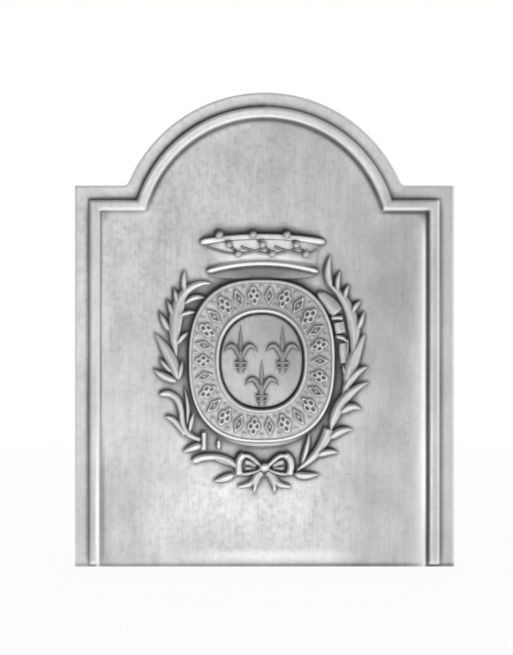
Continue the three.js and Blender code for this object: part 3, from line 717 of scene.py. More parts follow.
angle_grid, inset_grid = np.meshgrid(ring_angles[:-1], ring_insets, indexing="ij")
ring_x, ring_z = on_ring(angle_grid, inset_grid)
across_grid = (face_from + face_to) / 2 - inset_grid
in_face = np.clip((face_to - face_from) / 2 - np.abs(across_grid) + 0.6, 0, 1)
ring_level = ring_profile(inset_grid) + in_face * FRIEZE_RISE * frieze(ring_length[:-1, None], across_grid)
ledge = np.interp(inset_grid, WALL_INSETS[:5], LEDGE_LEVELS)
ring_level += ledge * lowest_part(angle_grid)
ring_front = on_face(ring_x, ring_level, ring_z)
back_inset = np.array([band_width - 0.3, WALL_INSETS[0]])
back_x, back_z = on_ring(ring_angles[:-1, None], back_inset[None, :])
ring_back = on_face(back_x, np.full(back_x.shape, -SINK), back_z)
ring_skin = np.concatenate([ring_front, ring_back], 1)
add_piece("medallion_ring", [ring_skin], ["medallion_band"], looped=True)
stamp(ring_front)
print("ring skin", ring_skin.shape)

# %% [markdown]
# ### The dome and its flowers
#
# Inside the ring lies a low dome, 5 mm high at its edge and 8 mm in the middle. Three fleurs-de-lis, a
# common heraldic flower, stand on it. They are strokes whose ground is the dome: a tall middle petal, two
# that curl outwards, a stem, and the bands that tie them. Dome and flowers get more painted shade than
# the ring.

# %% Dome
DOME_EDGE = 4.8
DOME_CROWN = 3
# Painted shade on the dome and, more of it, on the flowers.
DOME_SHADE = 0.22
FLOWER_SHADE = 0.5
dome_shares = np.r_[np.linspace(0.004, 0.9, 58), np.linspace(0.91, 0.996, 10)]


def dome_level(share):
    """The dome's level: its edge plus a crown that falls with the square of the share, rounded off over
    the last hundredths."""
    rounding = 1.2 * np.clip((share - 0.94) / 0.056, 0, 1) ** 2
    return DOME_EDGE + DOME_CROWN * (1 - share ** 2) - rounding


def dome_ground(x, z):
    """The dome's level at a place."""
    dx, dz = x - medallion_x, z - medallion_z
    share = np.hypot(dx, dz) / oval_radius(np.arctan2(dz, dx), dome_half, DOME_SQUARENESS)
    return dome_level(np.clip(share, 0, 1))


dome_angles = np.linspace(0, 2 * np.pi, 361)[:-1]
dome_radii = oval_radius(dome_angles, dome_half, DOME_SQUARENESS)[None, :] * dome_shares[:, None]
dome_rows = on_face(
    medallion_x + dome_radii * np.cos(dome_angles),
    dome_level(dome_shares)[:, None] * np.ones(360),
    medallion_z + dome_radii * np.sin(dome_angles),
)
dome_foot = dome_rows[-1:].copy()
dome_foot[..., 1] = face_y + SINK
dome_skin = np.concatenate([dome_rows, dome_foot])
add_piece("medallion_dome", [dome_skin], ["medallion_dome"], DOME_SHADE)
stamp(dome_rows)
print("dome", np.round(2 * dome_half, 1), "mm")

# %% [markdown]
# ### Fleurs-de-lis
#
# All three are the same flower. Its span, its tip and its foot are shares of the dome, so that the three
# always fit on it. The curled petals bend out and down; two short bars tie them to the stem.

# %% Fleurs-de-lis
dome_width, dome_height = 2 * dome_half
fleur_span = dome_width / 4 - 4
fleur_tip = dome_height * 2 / 7
fleur_foot = dome_height * 3 / 14
TIE_STEP = 5


def flower_stroke(places, width, rise, steps=26, pointed=True):
    """One petal, pointed at both ends, or one bar of even width. Its ridge drops where it is thin."""
    v = np.linspace(0, 1, steps)
    half = leaf_half(width, v) if pointed else np.full(steps, width / 2)
    high = rise * np.minimum(1, half / half.max() * 1.4)
    return stroke(bezier(places, steps), half, high, 0.45 * high, ground=dome_ground, across=13, cove=0.6)


def fleur_de_lis(x, z):
    """The strokes of one flower about the joint of its petals."""
    def on(across, up):
        """A place on the flower: across as a share of its span, up in millimetres."""
        return [x + across * fleur_span, z + up]
    root, tie, curl = -fleur_foot / 3, -fleur_foot / 2, fleur_tip * 0.62
    second_tie = tie - TIE_STEP
    return [
        flower_stroke([on(0, root), on(0, 0), on(0, fleur_tip)], 4.2, 0.9),
        flower_stroke([on(-0.06, root), on(-0.42, curl), on(-1, 0)], 5.0, 2.7),
        flower_stroke([on(0.06, root), on(0.42, curl), on(1, 0)], 5.0, 2.7),
        flower_stroke([on(0, 1), on(0, tie), on(0, -fleur_foot)], 5.5, 1.9, pointed=False),
        flower_stroke([on(-0.34, tie), on(0, tie), on(0.34, tie)], 2.8, 2.8, pointed=False),
        flower_stroke(
            [on(-0.3, second_tie), on(0, second_tie), on(0.3, second_tie)], 2.4, 2.4, pointed=False
        ),
    ]


fleur_places = {
    "left": (-dome_width / 4, dome_height * 0.09),
    "right": (dome_width / 4, dome_height * 0.09),
    "lower": (0, -dome_height * 0.26),
}
for name, (x, z) in fleur_places.items():
    petals = fleur_de_lis(medallion_x + x, medallion_z + z)
    add_strokes("flower_" + name, petals, ["fleur_de_lis_" + name], FLOWER_SHADE)
print("flowers", round(2 * fleur_span, 1), "mm wide")

# %% [markdown]
# ## The coronet
#
# A baron's kind of coronet is a plain circlet wound with strings of pearls. From the front it is two
# bowed bars, the rim above and the base ring below, a band that leans out between them, and under the
# ring a crescent darkened with painted shade: the far inside of the ring, seen from below. The band
# stands out furthest and gets a painted highlight.

# %% Bars and band
rim_low, rim_high = box_mm("coronet_top_rim")
ring_low, ring_high = box_mm("coronet_base_ring")
coronet_x = (rim_low[0] + rim_high[0]) / 2
RIM_ARC = 6
RING_ARC = 9
RIM_THICK, RING_THICK = 7, 6
RING_LIFT = 2
# Below zero: a painted highlight over the band, fading towards the face.
BAND_SHADE = -0.52
rim_z = rim_high[2] - RIM_THICK / 2
base_z = ring_high[2] - RING_THICK / 2
rim_width, base_width = rim_high[0] - rim_low[0], ring_high[0] - ring_low[0]


def bow(u):
    """0 at both ends, 1 in the middle, on a parabola."""
    return 1 - (2 * u - 1) ** 2


def flat_topped(q):
    """A bar's cross-section: nearly flat, with round shoulders."""
    return np.sqrt(np.clip(1 - np.abs(q) ** 4, 0, 1))


def coronet_bar(width, middle_z, arc_height, thickness, rise, steps=120):
    """A bowed bar with a nearly flat front and its ends drawn in."""
    u = np.linspace(0.008, 0.992, steps)
    path = np.stack([coronet_x + (u - 0.5) * width, middle_z + arc_height * (bow(u) - 1)], -1)
    heading = np.gradient(path, axis=0)
    heading /= np.linalg.norm(heading, axis=1, keepdims=True)
    half = thickness / 2 * np.minimum(1, 0.4 + 4 * bow(u))
    high = rise * np.minimum(1, 0.75 + 2 * bow(u))
    return stroke((path, heading), half, high, 0.55 * high, flat_topped, cove=0.8)


def band_place(u, v):
    """The circlet between ring and rim: wider at its top, bowed like the rim."""
    half = (base_width + (rim_width - RIM_THICK - base_width) * v) / 2
    bottom, top = base_z + RING_THICK / 2 - 0.6, rim_z - RIM_THICK / 2 + 0.6
    return coronet_x + (2 * u - 1) * half, bottom + (top - bottom) * v + RIM_ARC * (bow(u) - 1)


def sheet(place, level, across, up):
    """A closed skin over a two-way grid: its front, a wall down to under the face, and a flat back."""
    u, v = np.meshgrid(np.linspace(0, 1, across), np.linspace(0, 1, up), indexing="ij")
    x, z = place(u, v)
    front = on_face(x, level(u, v), z)
    wall = front[:, [-1, 0]].copy()
    wall[..., 1] = face_y + SINK
    return np.concatenate([front, wall], 1)


def band_rise(u):
    """How far the circlet bulges out: just under the face at its two sides, fullest over its middle
    half."""
    return 6.9 * np.minimum(1, 1.25 * np.clip(bow(u), 0, 1)) - 0.3


def band_ground(x, z):
    """The circlet's level at a place."""
    return band_rise((x - coronet_x) / (base_width + 4) + 0.5) + 0 * z


def band_level(u, v):
    """The circlet's front, a little hollow half way up, with a groove above the base ring."""
    return band_rise(u) - 0.4 * bow(v) - 2.0 * bow(u) * bump_at(v, 0.15, 0.08)


rim_bar = coronet_bar(rim_width, rim_z, RIM_ARC, 6.4, 8)
base_bar = coronet_bar(base_width, base_z + RING_LIFT, RING_ARC, 4.8, 7.5)
band_skin = sheet(band_place, band_level, 120, 28)
add_strokes("coronet_rim", [rim_bar], ["coronet_top_rim"])
add_strokes("coronet_ring", [base_bar], ["coronet_base_ring"])
add_piece("coronet_band", [band_skin], ["coronet_circlet"], BAND_SHADE)
stamp(band_skin[:, :-2])
print("coronet rim", round(rim_width, 1), "mm wide, base ring", round(base_width, 1))

# %% [markdown]
# ### Inside of the ring
#
# Seen a little from below, the far side of the base ring shows as a shallow crescent under the near side.
# It lies low, slopes down towards the medallion and is darkened with painted shade.

# %% Inside of the ring
RING_DROP = 5.2
# Painted shade on the crescent.
LINING_SHADE = 0.2


def lining_place(u, v):
    """A crescent below the base ring; v runs from its lower edge, which falls away with the square root
    of the bow, up to the ring."""
    top = base_z + RING_ARC * (bow(u) - 1)
    bottom = base_z - RING_ARC - RING_DROP * np.clip(bow(u), 0, 1) ** 0.5
    return coronet_x + (2 * u - 1) * (base_width / 2 - 1.5), bottom + (top - bottom) * v


def lining_level(u, v):
    """The crescent's level: 1.2 mm at the ring, rising with the square of the way down to 3 mm."""
    return 1.2 + 1.8 * (1 - v) ** 2 + 0 * u


lining_skin = sheet(lining_place, lining_level, 100, 22)
add_piece("coronet_inside", [lining_skin], ["coronet_lining"], LINING_SHADE)
stamp(lining_skin[:, :-2])
print("lining", round(RING_DROP, 1), "mm deep at its middle")

# %% [markdown]
# ### Pearls
#
# Three strings run slantwise over the band, three pearls on each, with thin strands that sag between the
# strings. A pearl is a ball sunk half into the casting.

# %% Pearl strings
PEARL = 8.2
RIM_PEARL_LEVEL = 8.2
BAND_PEARL_LEVEL = 1.2
PEARL_DROP = 10
# Painted shade on the pearls and their strands.
PEARL_SHADE = 0.4
STRAND = 2.0
SAG_STRAND = 1.8


def ball(x, z, diameter, level, steps=18):
    """A ball as rings from its pole nearest the plate to its front pole."""
    tilt = np.linspace(0.04, np.pi - 0.04, steps)[:, None]
    turn = np.linspace(0, 2 * np.pi, 2 * steps + 1)[None, :-1]
    radius = diameter / 2
    return on_face(
        x + radius * np.sin(tilt) * np.cos(turn),
        level - radius * np.cos(tilt) * np.ones_like(turn),
        z + radius * np.sin(tilt) * np.sin(turn),
    )


def strand(places, width=STRAND, steps=30):
    """A thin cord over the band."""
    along = np.ones(steps)
    half, rise, edge = width / 2 * along, 1.3 * along, 0.4 * along
    return stroke(bezier(places, steps), half, rise, edge, ground=band_ground, across=9, cove=0.4)


def string_start(i):
    """The first pearl of string i, on the rim."""
    return coronet_x - PEARL_DROP + (i - 1) * 0.3 * base_width, rim_z + PEARL / 5


for i, name in enumerate(["left", "middle", "right"]):
    x, z = string_start(i)
    places = [(x + k * PEARL_DROP, z - k * PEARL_DROP) for k in range(3)]
    band_levels = [float(band_ground(*place)) + BAND_PEARL_LEVEL for place in places[1:]]
    balls = [ball(*place, PEARL, level) for place, level in zip(places, [RIM_PEARL_LEVEL, *band_levels])]
    last_x, last_z = places[-1]
    cords = [strand(places)]
    right_reach = 26 if i < 2 else 12
    for reach, lift in ((-33, 8), (right_reach, 6)):
        sag = (last_x + 0.45 * reach, last_z + 0.5)
        cords.append(strand([places[-1], sag, (last_x + reach, last_z + lift)], SAG_STRAND))
    add_strokes("pearls_" + name, cords, ["pearl_string_" + name], PEARL_SHADE, balls)
print("pearls of", PEARL, "mm")

# %% [markdown]
# ## The bow
#
# A ribbon tied below the medallion. Each loop is a band of ribbon that rounds a hollow, so it is drawn as
# strokes: one round its outline, a fold down its outer end, and shallow pleats in the hollow. The tails
# fork at their ends, as a ribbon cut to a swallowtail does. Places are millimetres right of and above the
# knot, for the right-hand side; the left-hand side is their mirror image.

# %% Ribbon
knot_low, knot_high = box_mm("bow_knot")
knot_x, _, knot_z = (knot_low + knot_high) / 2
KNOT_SIZE = [13, 17, 11]
KNOT_LIFT = 0.8


def ribbon(side, places, width, rise, edge=None, steps=40, taper=0.0):
    """A stroke of ribbon through places measured from the knot; side -1 mirrors it to the left. It gets
    narrower along its length by the share taper, and narrower and lower at both ends."""
    path = smooth_path([[knot_x + side * x, knot_z + z] for x, z in places], steps)
    v = np.linspace(0, 1, steps)
    half = width / 2 * (1 - taper * v) * np.minimum(1, 0.45 + 5 * bow(v))
    high = rise * np.minimum(1, 0.7 + 3 * bow(v))
    return stroke(path, half, high, (edge or 0.45 * rise) * np.ones(steps))


def bow_loop(side):
    """Upper and lower side of the loop, the fold at its outer end and two pleats in the hollow."""
    return [
        ribbon(side, [[3, 1.5], [10, 8], [17, 13.5], [24.5, 12.5]], 4.6, 6.0),
        ribbon(side, [[21.5, 14], [26.5, 10.5], [28, 2], [26, -7]], 7.4, 7.0),
        ribbon(side, [[3, -1], [10, -4.5], [18, -6.5], [24, -6.5]], 3.4, 5.2),
        ribbon(side, [[9, 2], [14, 5], [20, 6]], 5.5, 2.2, 0.8),
        ribbon(side, [[9, -0.5], [14, -1.2], [20, -1]], 4.2, 1.8, 0.8),
    ]


def bow_tail(side):
    """A tail that falls outwards and forks."""
    return [
        ribbon(side, [[3, -4], [7, -7], [9.5, -12], [11.5, -17]], 9.0, 4.2, 1.6),
        ribbon(side, [[10, -12], [13, -16], [19, -18.5], [27.5, -20]], 8.6, 3.8, 1.2, taper=0.6),
        ribbon(side, [[9.5, -11], [10, -16], [10, -21], [11, -25]], 7.6, 3.8, 1.2, taper=0.6),
    ]


for side, name in ((-1, "left"), (1, "right")):
    add_strokes("ribbon_loop_" + name, bow_loop(side), ["bow_loop_" + name])
    add_strokes("ribbon_tail_" + name, bow_tail(side), ["bow_tail_" + name])

unit_ball = ball(0, 0, 1.0, 0.0, 24) - [0, face_y, 0]
knot_ball = unit_ball * KNOT_SIZE + [knot_x, face_y, knot_z + KNOT_LIFT]
add_strokes("ribbon_knot", [], ["bow_knot"], balls=[knot_ball])
print("knot at", round(knot_x, 1), round(knot_z, 1))

# %% [markdown]
# ## The wreath
#
# Two branches of leaves, tied below and open above. Leaves are set out as the carver would do it: degrees
# round the medallion from its right-hand side, and millimetres outside its rim. Each has a root, a place
# that it bends towards, a tip and a width. Blades are the long forms that change their width as they go:
# the main leaves, the hooked ends, the ties and the short lengths of ribbon wound round the branch. They
# are lists of x, z and the full width there, in millimetres on the plate, and the height of their ridge.

# %% Leaves
def around(degrees, outset):
    """A place round the medallion, outset millimetres outside its rim."""
    angle = np.radians(degrees)
    radius = oval_radius(angle, band_half, RIM_SQUARENESS, outset)
    return [medallion_x + radius * np.cos(angle), medallion_z + radius * np.sin(angle)]


left_leaves = {
    "ribbon_leaf": ([256.5, 35], [253, 41], [248, 47], 6.5),
    "low_leaf": ([235, 18], [232, 24], [229, 37], 7),
    "shoot": ([221, 17], [212, 5], [197, 7], 4),
    "twig": ([225, 19], [220, 11], [217, 3], 4.5),
    "middle_leaf": ([193, 12], [178, 16], [165, 38], 10.5),
    "middle_spur": ([194, 13], [189, 28], [184, 38], 6.5),
    "middle_tooth": ([188, 16], [183, 26], [178, 31], 5),
    "middle_inner": ([193, 11], [186, 9], [179, 6], 5),
    "first_thorn": ([162, 22], [159, 28], [154, 37], 5.5),
    "second_thorn": ([154, 21], [150, 25], [147, 34], 5),
    "third_thorn": ([146, 22], [143, 25], [140, 33], 5),
    "fourth_thorn": ([139, 18], [135, 29], [130, 35], 5.5),
    "inner_hook": ([144, 15], [134, 12], [131, -3], 5.5),
    "inner_tooth": ([153, 18], [145, 8], [143, -1], 4.5),
    "inner_spur": ([169, 12], [162, 9], [158, 0], 5),
}
right_leaves = {
    "inner_blade": ([-69, 28], [-63, 16], [-56, 2], 5),
    "ribbon_leaf": ([-74, 35], [-70, 41], [-63, 43], 6.5),
    "low_leaf": ([-60, 26], [-54, 25], [-50, 36], 6),
    "third_leaf": ([-49, 20], [-41, 20], [-37, 33], 7),
    "long_leaf": ([-45, 15], [-22, 6], [-11, 38], 9.5),
    "fourth_leaf": ([-34, 15], [-25, 20], [-26, 34], 7),
    "fifth_leaf": ([-22, 12], [-7, 17], [-3, 36], 8),
    "big_leaf": ([-17, 14], [2, 17], [15, 34], 11.5),
    "top_spike": ([45, 18], [55, 23], [57, 43], 6.5),
    "second_spike": ([41, 20], [47, 24], [49, 36], 5),
    "third_spike": ([35, 21], [40, 24], [41, 34], 5),
    "fourth_spike": ([27, 24], [31, 27], [31, 37], 5),
    "fifth_spike": ([18, 25], [21, 30], [26, 37], 5.5),
}
left_blades = {
    "top_blade": ([
        [-92.4, 221, 2.4], [-94.9, 238, 9], [-94.4, 248, 12.5], [-93.2, 263, 15], [-91.2, 273, 14],
        [-88.4, 283, 11.5], [-82.8, 290.4, 9], [-76.3, 295.4, 8], [-68.2, 298.4, 6.5],
        [-60.2, 299.5, 4.5], [-55.1, 297.4, 2],
    ], 5.2),
    "hook": ([
        [-110.6, 181.3, 3], [-105, 183.4, 6.5], [-99.9, 183.3, 7], [-91.1, 177.4, 7],
        [-87.3, 164.8, 6.5], [-86.7, 151.1, 6.5], [-82.4, 141.4, 6.5], [-74.6, 136.5, 6],
        [-66, 133.6, 6],
    ], 5.2),
    "hook_prong": ([
        [-104.2, 158.5, 2.5], [-97, 156.6, 6], [-89.2, 148.2, 6.5], [-83.4, 139.5, 5],
    ], 4.8),
    "tied_end": ([
        [-28, 106, 7], [-39.6, 113.6, 7], [-51.2, 116.6, 7], [-64.9, 116, 7.4], [-72.5, 113, 7.4],
        [-76, 111, 4],
    ], 5.6),
    "tie": ([[-63.9, 142, 5.6], [-63.9, 132.6, 5.6], [-63.9, 123.5, 5.6]], 6.4),
    "tie_end": ([
        [-48.3, 134.5, 1.6], [-48.3, 131, 4.8], [-48.3, 127, 4.8], [-48.3, 123.5, 1.6],
    ], 4.2),
}
right_blades = {
    "main_blade": ([
        [89.9, 205.2, 2], [92.6, 223.3, 5], [94.4, 235.4, 9], [94.4, 253.6, 13], [89.1, 271.7, 10.5],
        [80.9, 286.2, 8], [72.4, 294.7, 5.5], [64.6, 299.5, 2.5],
    ], 5.4),
    "tied_end": ([
        [33, 100.5, 2.5], [45, 110.5, 6.5], [56, 121.4, 9], [64.5, 136, 11], [68.3, 146, 12],
    ], 5.2),
    "upper_plate": ([
        [56, 288.6, 5], [60, 285, 11], [66, 279, 14.5], [72, 273, 15], [77.2, 267.4, 13],
    ], 3.7),
    "upper_ring": ([[70.6, 262, 4.6], [76, 262.4, 4.6], [82.1, 262, 4.6]], 4.2),
    "middle_plate": ([[77.9, 257.6, 11], [79, 251.5, 11.4], [80.3, 246, 11]], 3.4),
    "lower_ring": ([[75.5, 242.6, 4], [82, 241.6, 5], [87.4, 237, 3]], 4.3),
    "lower_plate": ([[82.1, 236, 8], [83.4, 225, 10], [83.9, 214.4, 8.5]], 3.5),
    "bud": ([[82.3, 212.5, 2], [84, 206, 5], [87.4, 200, 4]], 4.4),
    "foot_plate": ([[86, 197, 7], [87, 191.5, 8], [87.6, 186, 6]], 4.0),
}
left_stem = [[258, 26], [251, 25.5], [245, 25]]
right_stem = [[-46, 15], [-30, 12], [-14, 13], [4, 14], [14, 15]]
LEAF_FULLNESS = 1.2
STEM_STEPS = 60


def blade(places, rise, steps=80):
    """A stroke through places on the plate, each given as x, z and the full width there. Its ridge is
    rise high where it is wide, falls with the square root of the width, and drops at both ends."""
    places = np.array(places, float)
    path = smooth_path(places[:, :2], steps)
    length = np.r_[0, np.cumsum(np.linalg.norm(np.diff(places[:, :2], axis=0), axis=1))]
    half = np.interp(np.linspace(0, length[-1], steps), length, places[:, 2]) / 2
    ends = np.minimum(1, 0.45 + 5 * bow(np.linspace(0, 1, steps)))
    high = rise * np.minimum(1, half / half.max() * 1.6) ** 0.5 * ends
    return stroke(path, half, high, 0.4 * high)


def leaf(root, bend, tip, width, steps=46):
    """One leaf: low at its root, highest past its middle, thin at its tip."""
    v = np.linspace(0, 1, steps)
    half = leaf_half(width * LEAF_FULLNESS, v)
    full = np.minimum(1, half / half.max() * 1.25)
    rise = (4.2 + 1.3 * np.sin(np.pi * v) + 0.03 * width) * full ** 0.6
    return stroke(bezier([around(*root), around(*bend), around(*tip)], steps), half, rise, 0.34 * rise)


def branch(name, leaves, blades, stem):
    """A branch: its stem, 4.8 mm wide and thinner upwards, its leaves and its blades in one piece."""
    path = smooth_path([around(*place) for place in stem], STEM_STEPS)
    v = np.linspace(0, 1, STEM_STEPS)
    strokes = [stroke(path, 2.4 - 0.8 * v, 3.2 + 0 * v, 1.2 + 0 * v)]
    strokes += [leaf(*shape) for shape in leaves.values()]
    strokes += [blade(*shape) for shape in blades.values()]
    add_strokes("branch_" + name, strokes, ["wreath_branch_" + name])
    print("branch", name, "with", len(leaves), "leaves and", len(blades), "blades")


branch("left", left_leaves, left_blades, left_stem)
branch("right", right_leaves, right_blades, right_stem)

# %% [markdown]
# ## Hollows, painted shade and painted highlights
#
# The height map is complete. Subtracting it from a blurred copy of itself says how deep a place lies: a
# short blur finds the thin creases at the foot of each form, a long one the wide hollows between them.
# The light comes from the lower right. So the same map, moved a few millimetres, finds the sides turned
# away from it, which get painted shade and a painted shadow above tall forms, and the sides turned to it,
# which get painted highlights.

# %% Read the relief
LIGHT_STEP = (1.6, -2.6)
FAR_LIGHT_STEP = (3, -8)


def moved(field, right, up):
    """The field read right and up millimetres further on."""
    return np.roll(field, (-round(up / CELL), -round(right / CELL)), (0, 1))


def slope(value, start, end):
    """0 at start, 1 at end, a straight line between them and level beyond; start may be the larger."""
    return np.clip((value - start) / (end - start), 0, 1)


near_depth = blurred(height_map, 0.9) - height_map
close_depth = blurred(height_map, 2.2) - height_map
wide_depth = blurred(height_map, 7.5) - height_map
soft_height = blurred(height_map, 0.9)
softer_height = blurred(height_map, 3.5)
# Above zero where a form lies to the lower right, towards the light: painted shade goes there. Below zero
# the side faces the light: painted highlights go there.
shadow_side = moved(soft_height, *LIGHT_STEP) - soft_height
far_shadow_side = moved(softer_height, *FAR_LIGHT_STEP) - softer_height
map_x = np.arange(map_columns) * CELL - plate_width / 2 - MARGIN
map_z = (np.arange(map_rows) * CELL - MARGIN)[:, None]
inset_map = plate_inset(map_x, map_z)
on_right = map_x > 0
print("deepest crease", round(near_depth.max(), 1), "mm, widest hollow", round(wide_depth.max(), 1), "mm")

# %% [markdown]
# ### Painted highlights, and wear on what stands proud
#
# What stands proud, and the sides turned to the light, get painted highlights with some wear from the
# brush. Painted highlights also follow the moulding: a bright strip inside the right-hand bead, wider
# towards the foot, a thin one inside the left-hand bead, one along the foot of the field, and a brighter
# rim outside the bead, bead of the arch and rounded edge. All places are insets from the plate's outline
# or heights above its foot, in millimetres.

# %% Rubbed places
STRIP_INSET = 31.6
LEFT_STRIP_INSET = 29.5
LEFT_BEAD_INSET = 24.6
FOOT_STRIP_Z = 12
SHOULDER_FOOT = 385

below_shoulder = slope(map_z, SHOULDER_FOOT, SHOULDER_FOOT - 20)
above_shoulder = slope(map_z, SHOULDER_FOOT, SHOULDER_FOOT + 15)
strip_width = 2.6 + 5.5 * slope(map_z, 340, 0)
# Painted highlight strips beside the beads and along the foot of the field.
right_highlight_strip = 1.1 * on_right * np.exp(-np.clip(inset_map - STRIP_INSET, 0, None) / strip_width)
right_highlight_strip *= slope(inset_map, STRIP_INSET - 1.5, STRIP_INSET - 0.5) * slope(map_z, 375, 345)
foot_highlight_strip = 0.5 * bump_at(map_z, FOOT_STRIP_Z, 6) * slope(map_x, -115, -25) * slope(map_x, 120, 60)
on_left = (map_x < 0) * below_shoulder
left_bead_highlight = on_left * bump_at(inset_map, LEFT_BEAD_INSET, 2.4) * slope(map_z, 190, 70)
left_highlight_strip = 0.7 * on_left * np.exp(-np.clip(inset_map - LEFT_STRIP_INSET, 0, None) / 3)
left_highlight_strip *= slope(inset_map, LEFT_STRIP_INSET - 1, LEFT_STRIP_INSET) * slope(map_z, 90, 150)
strips = np.maximum.reduce([right_highlight_strip, foot_highlight_strip, left_highlight_strip, left_bead_highlight])

# Painted highlights on the rim, the rounded edge and the arch's bead, and on proud parts and sides facing
# the light.
rim_highlight = (0.2 + 0.15 * slope(map_z, 380, 440)) * slope(inset_map, 14, 12)
edge_highlight = 0.8 * slope(inset_map, 3.5, 1.5)
arch_bead_highlight = 0.45 * above_shoulder * slope(inset_map, 16, 18) * slope(inset_map, 28, 26)
proud_highlight = -0.3 * blurred(close_depth, 0.8) - 0.1 * wide_depth - 0.2 * np.clip(shadow_side, None, 0) - 0.2
BRIGHTEST_SHARE = 0.95
wear_and_highlight_map = np.clip(np.maximum.reduce([proud_highlight, strips, rim_highlight, edge_highlight, arch_bead_highlight]), 0, BRIGHTEST_SHARE)
print("rubbed up to", round(wear_and_highlight_map.max(), 2))

# %% [markdown]
# ### Polish and painted shade in the hollows
#
# Polish and painted shade are counted together as a thickness of paste. It blackens as any film does:
# what still shines through is e to the power of minus its thickness. Creases hold it by their depth, as
# polish and painted shade; the sides turned away from the light and the wide gaps get painted shade. It
# is weaker on the left than on the right, and stronger between the leaves and about the knot. Painted
# shade also lies in two dark lines along the moulding, one at the foot of the plate, and over the right
# of the field. Where a strip has a painted highlight, the darkening is gone.

# %% Black places
ARCH_LINE_INSET = 29.4
RIGHT_LINE_INSET = 28.8
FOOT_LINE_Z = 2.3
KNOT_REACH = 24

# Crease darkening, by depth: polish in the creases and painted shade.
creases = 1.9 * np.clip(blurred(near_depth, 0.35), 0, None)
creases += 0.25 * np.clip(blurred(close_depth, 0.7), 0, None)
# Less crease darkening on the sides facing the light.
lit_side_crease_share = 1 - 0.6 * np.clip(-shadow_side / 2, 0, 1)
# Painted shade on the sides away from the light, and a painted shadow above tall forms.
painted_lee_shade = 0.32 * np.clip(shadow_side - 0.3, 0, None) + 0.1 * np.clip(far_shadow_side - 1.5, 0, None)
# Painted shade in the wide gaps between forms, and over the right of the field.
gap_shade = 0.6 * np.clip(wide_depth - 1.2, 0, None)
right_painted_shade = 0.12 * slope(map_x, 40, 120) * np.clip(map_z / 160, 0.5, 1) * slope(inset_map, 38, 53)

# Painted shade: dark lines along the foot, the arch's bead and the right-hand bead.
foot_painted_shadow = (0.5 + 0.5 * slope(map_x, -60, 60)) * bump_at(map_z, FOOT_LINE_Z, 1.5)
arch_painted_shade = (0.75 + 0.25 * map_x / 150) * above_shoulder * bump_at(inset_map, ARCH_LINE_INSET, 1.5)
right_bead_painted_shade = 0.22 * bump_at(inset_map, RIGHT_LINE_INSET, 2.2) * on_right
right_bead_painted_shade = right_bead_painted_shade * slope(map_z, SHOULDER_FOOT, SHOULDER_FOOT - 10)
lines = foot_painted_shadow + arch_painted_shade + right_bead_painted_shade

away_x, away_z = map_x - medallion_x, map_z - medallion_z
rim_there = oval_radius(np.arctan2(away_z, away_x), band_half, RIM_SQUARENESS)
from_medallion = np.hypot(away_x, away_z) / rim_there
in_wreath = (from_medallion > 1.02) & (inset_map > 45) & (map_z < 300)
knot_bell = np.exp(-((map_x - knot_x) ** 2 + (map_z - knot_z) ** 2) / KNOT_REACH ** 2)
# How strong the painted shade is: less on the left and by the left edge, more in the wreath and about the
# knot, less by the right edge.
crease_shade_share = 0.85 + 0.3 * map_x / (plate_width / 2)
crease_shade_share = crease_shade_share * np.where(on_left * (inset_map < 35) > 0, 0.5, 1)
crease_shade_share = crease_shade_share * np.where(in_wreath, 1.45, 1) + 0.7 * knot_bell
crease_shade_share = crease_shade_share * np.where(on_right & (inset_map < 20), 0.42, 1)

# The thickness of polish and painted shade together.
thickness = crease_shade_share * (lit_side_crease_share * creases + painted_lee_shade) + gap_shade + lines + right_painted_shade
polish_and_shade_map = (1 - np.exp(-thickness)) * (1 - 0.95 * np.clip(strips, 0, 1))
polish_and_shade_map = blurred(polish_and_shade_map, 0.45)
print("hollow up to", round(polish_and_shade_map.max(), 2))

# %% [markdown]
# ## Building the pieces
#
# Each piece's skins are joined into one mesh. Every vertex gets the two values of the finish at its own
# place: how dark it is, from polish and painted shade, and how bright, from wear and painted highlights.
# Behind the face there is neither. A piece's shade is laid over both: painted shade covers what still
# shines, a painted highlight only reaches what stands 4 mm proud.

# %% Build
PIECE_HIGHLIGHT_LEVEL = 4


def finish_values(points, shade):
    """How hollow and how rubbed each vertex is, that is its polish and painted shade and its wear and
    painted highlights, from the two maps and the piece's own shade.
    """
    in_front = points[:, 1] < 0
    hollow = np.where(in_front, read_map(polish_and_shade_map, points[:, 0], points[:, 2]), 0)
    rubbed = np.where(in_front, read_map(wear_and_highlight_map, points[:, 0], points[:, 2]), 0)
    # polish is the piece's own painted shade, rubbing its painted highlight.
    polish = max(shade, 0)
    rubbing = max(-shade, 0) * np.clip((face_y - points[:, 1]) / PIECE_HIGHLIGHT_LEVEL, 0, 1)
    return {
        "hollow": 1 - (1 - hollow * (1 - rubbing)) * (1 - polish),
        "rubbed": np.minimum(1, rubbed + rubbing),
    }


def build(name, piece):
    """Makes the mesh of one piece, with its finish, and puts it in place of its CAD nodes."""
    points, faces, start = [], [], 0
    for skin_points, quads, caps in piece["skins"]:
        points.append(skin_points)
        faces += (quads + start).tolist()
        faces += [[i + start for i in cap] for cap in caps]
        start += len(skin_points)
    points = np.vstack(points)
    mesh = bpy.data.meshes.new(name)
    mesh.from_pydata((points * MM).tolist(), [], faces)
    mesh.polygons.foreach_set("use_smooth", np.ones(len(mesh.polygons), bool))
    for attribute, value in finish_values(points, piece["shade"]).items():
        layer = mesh.attributes.new(attribute, "FLOAT", "POINT")
        layer.data.foreach_set("value", value.astype(np.float32))
    mesh.materials.append(iron)
    mesh.update()
    object_ = bpy.data.objects.new(name, mesh)
    bpy.context.scene.collection.objects.link(object_)
    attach(object_, "root")
    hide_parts(*piece["nodes"])
    return object_


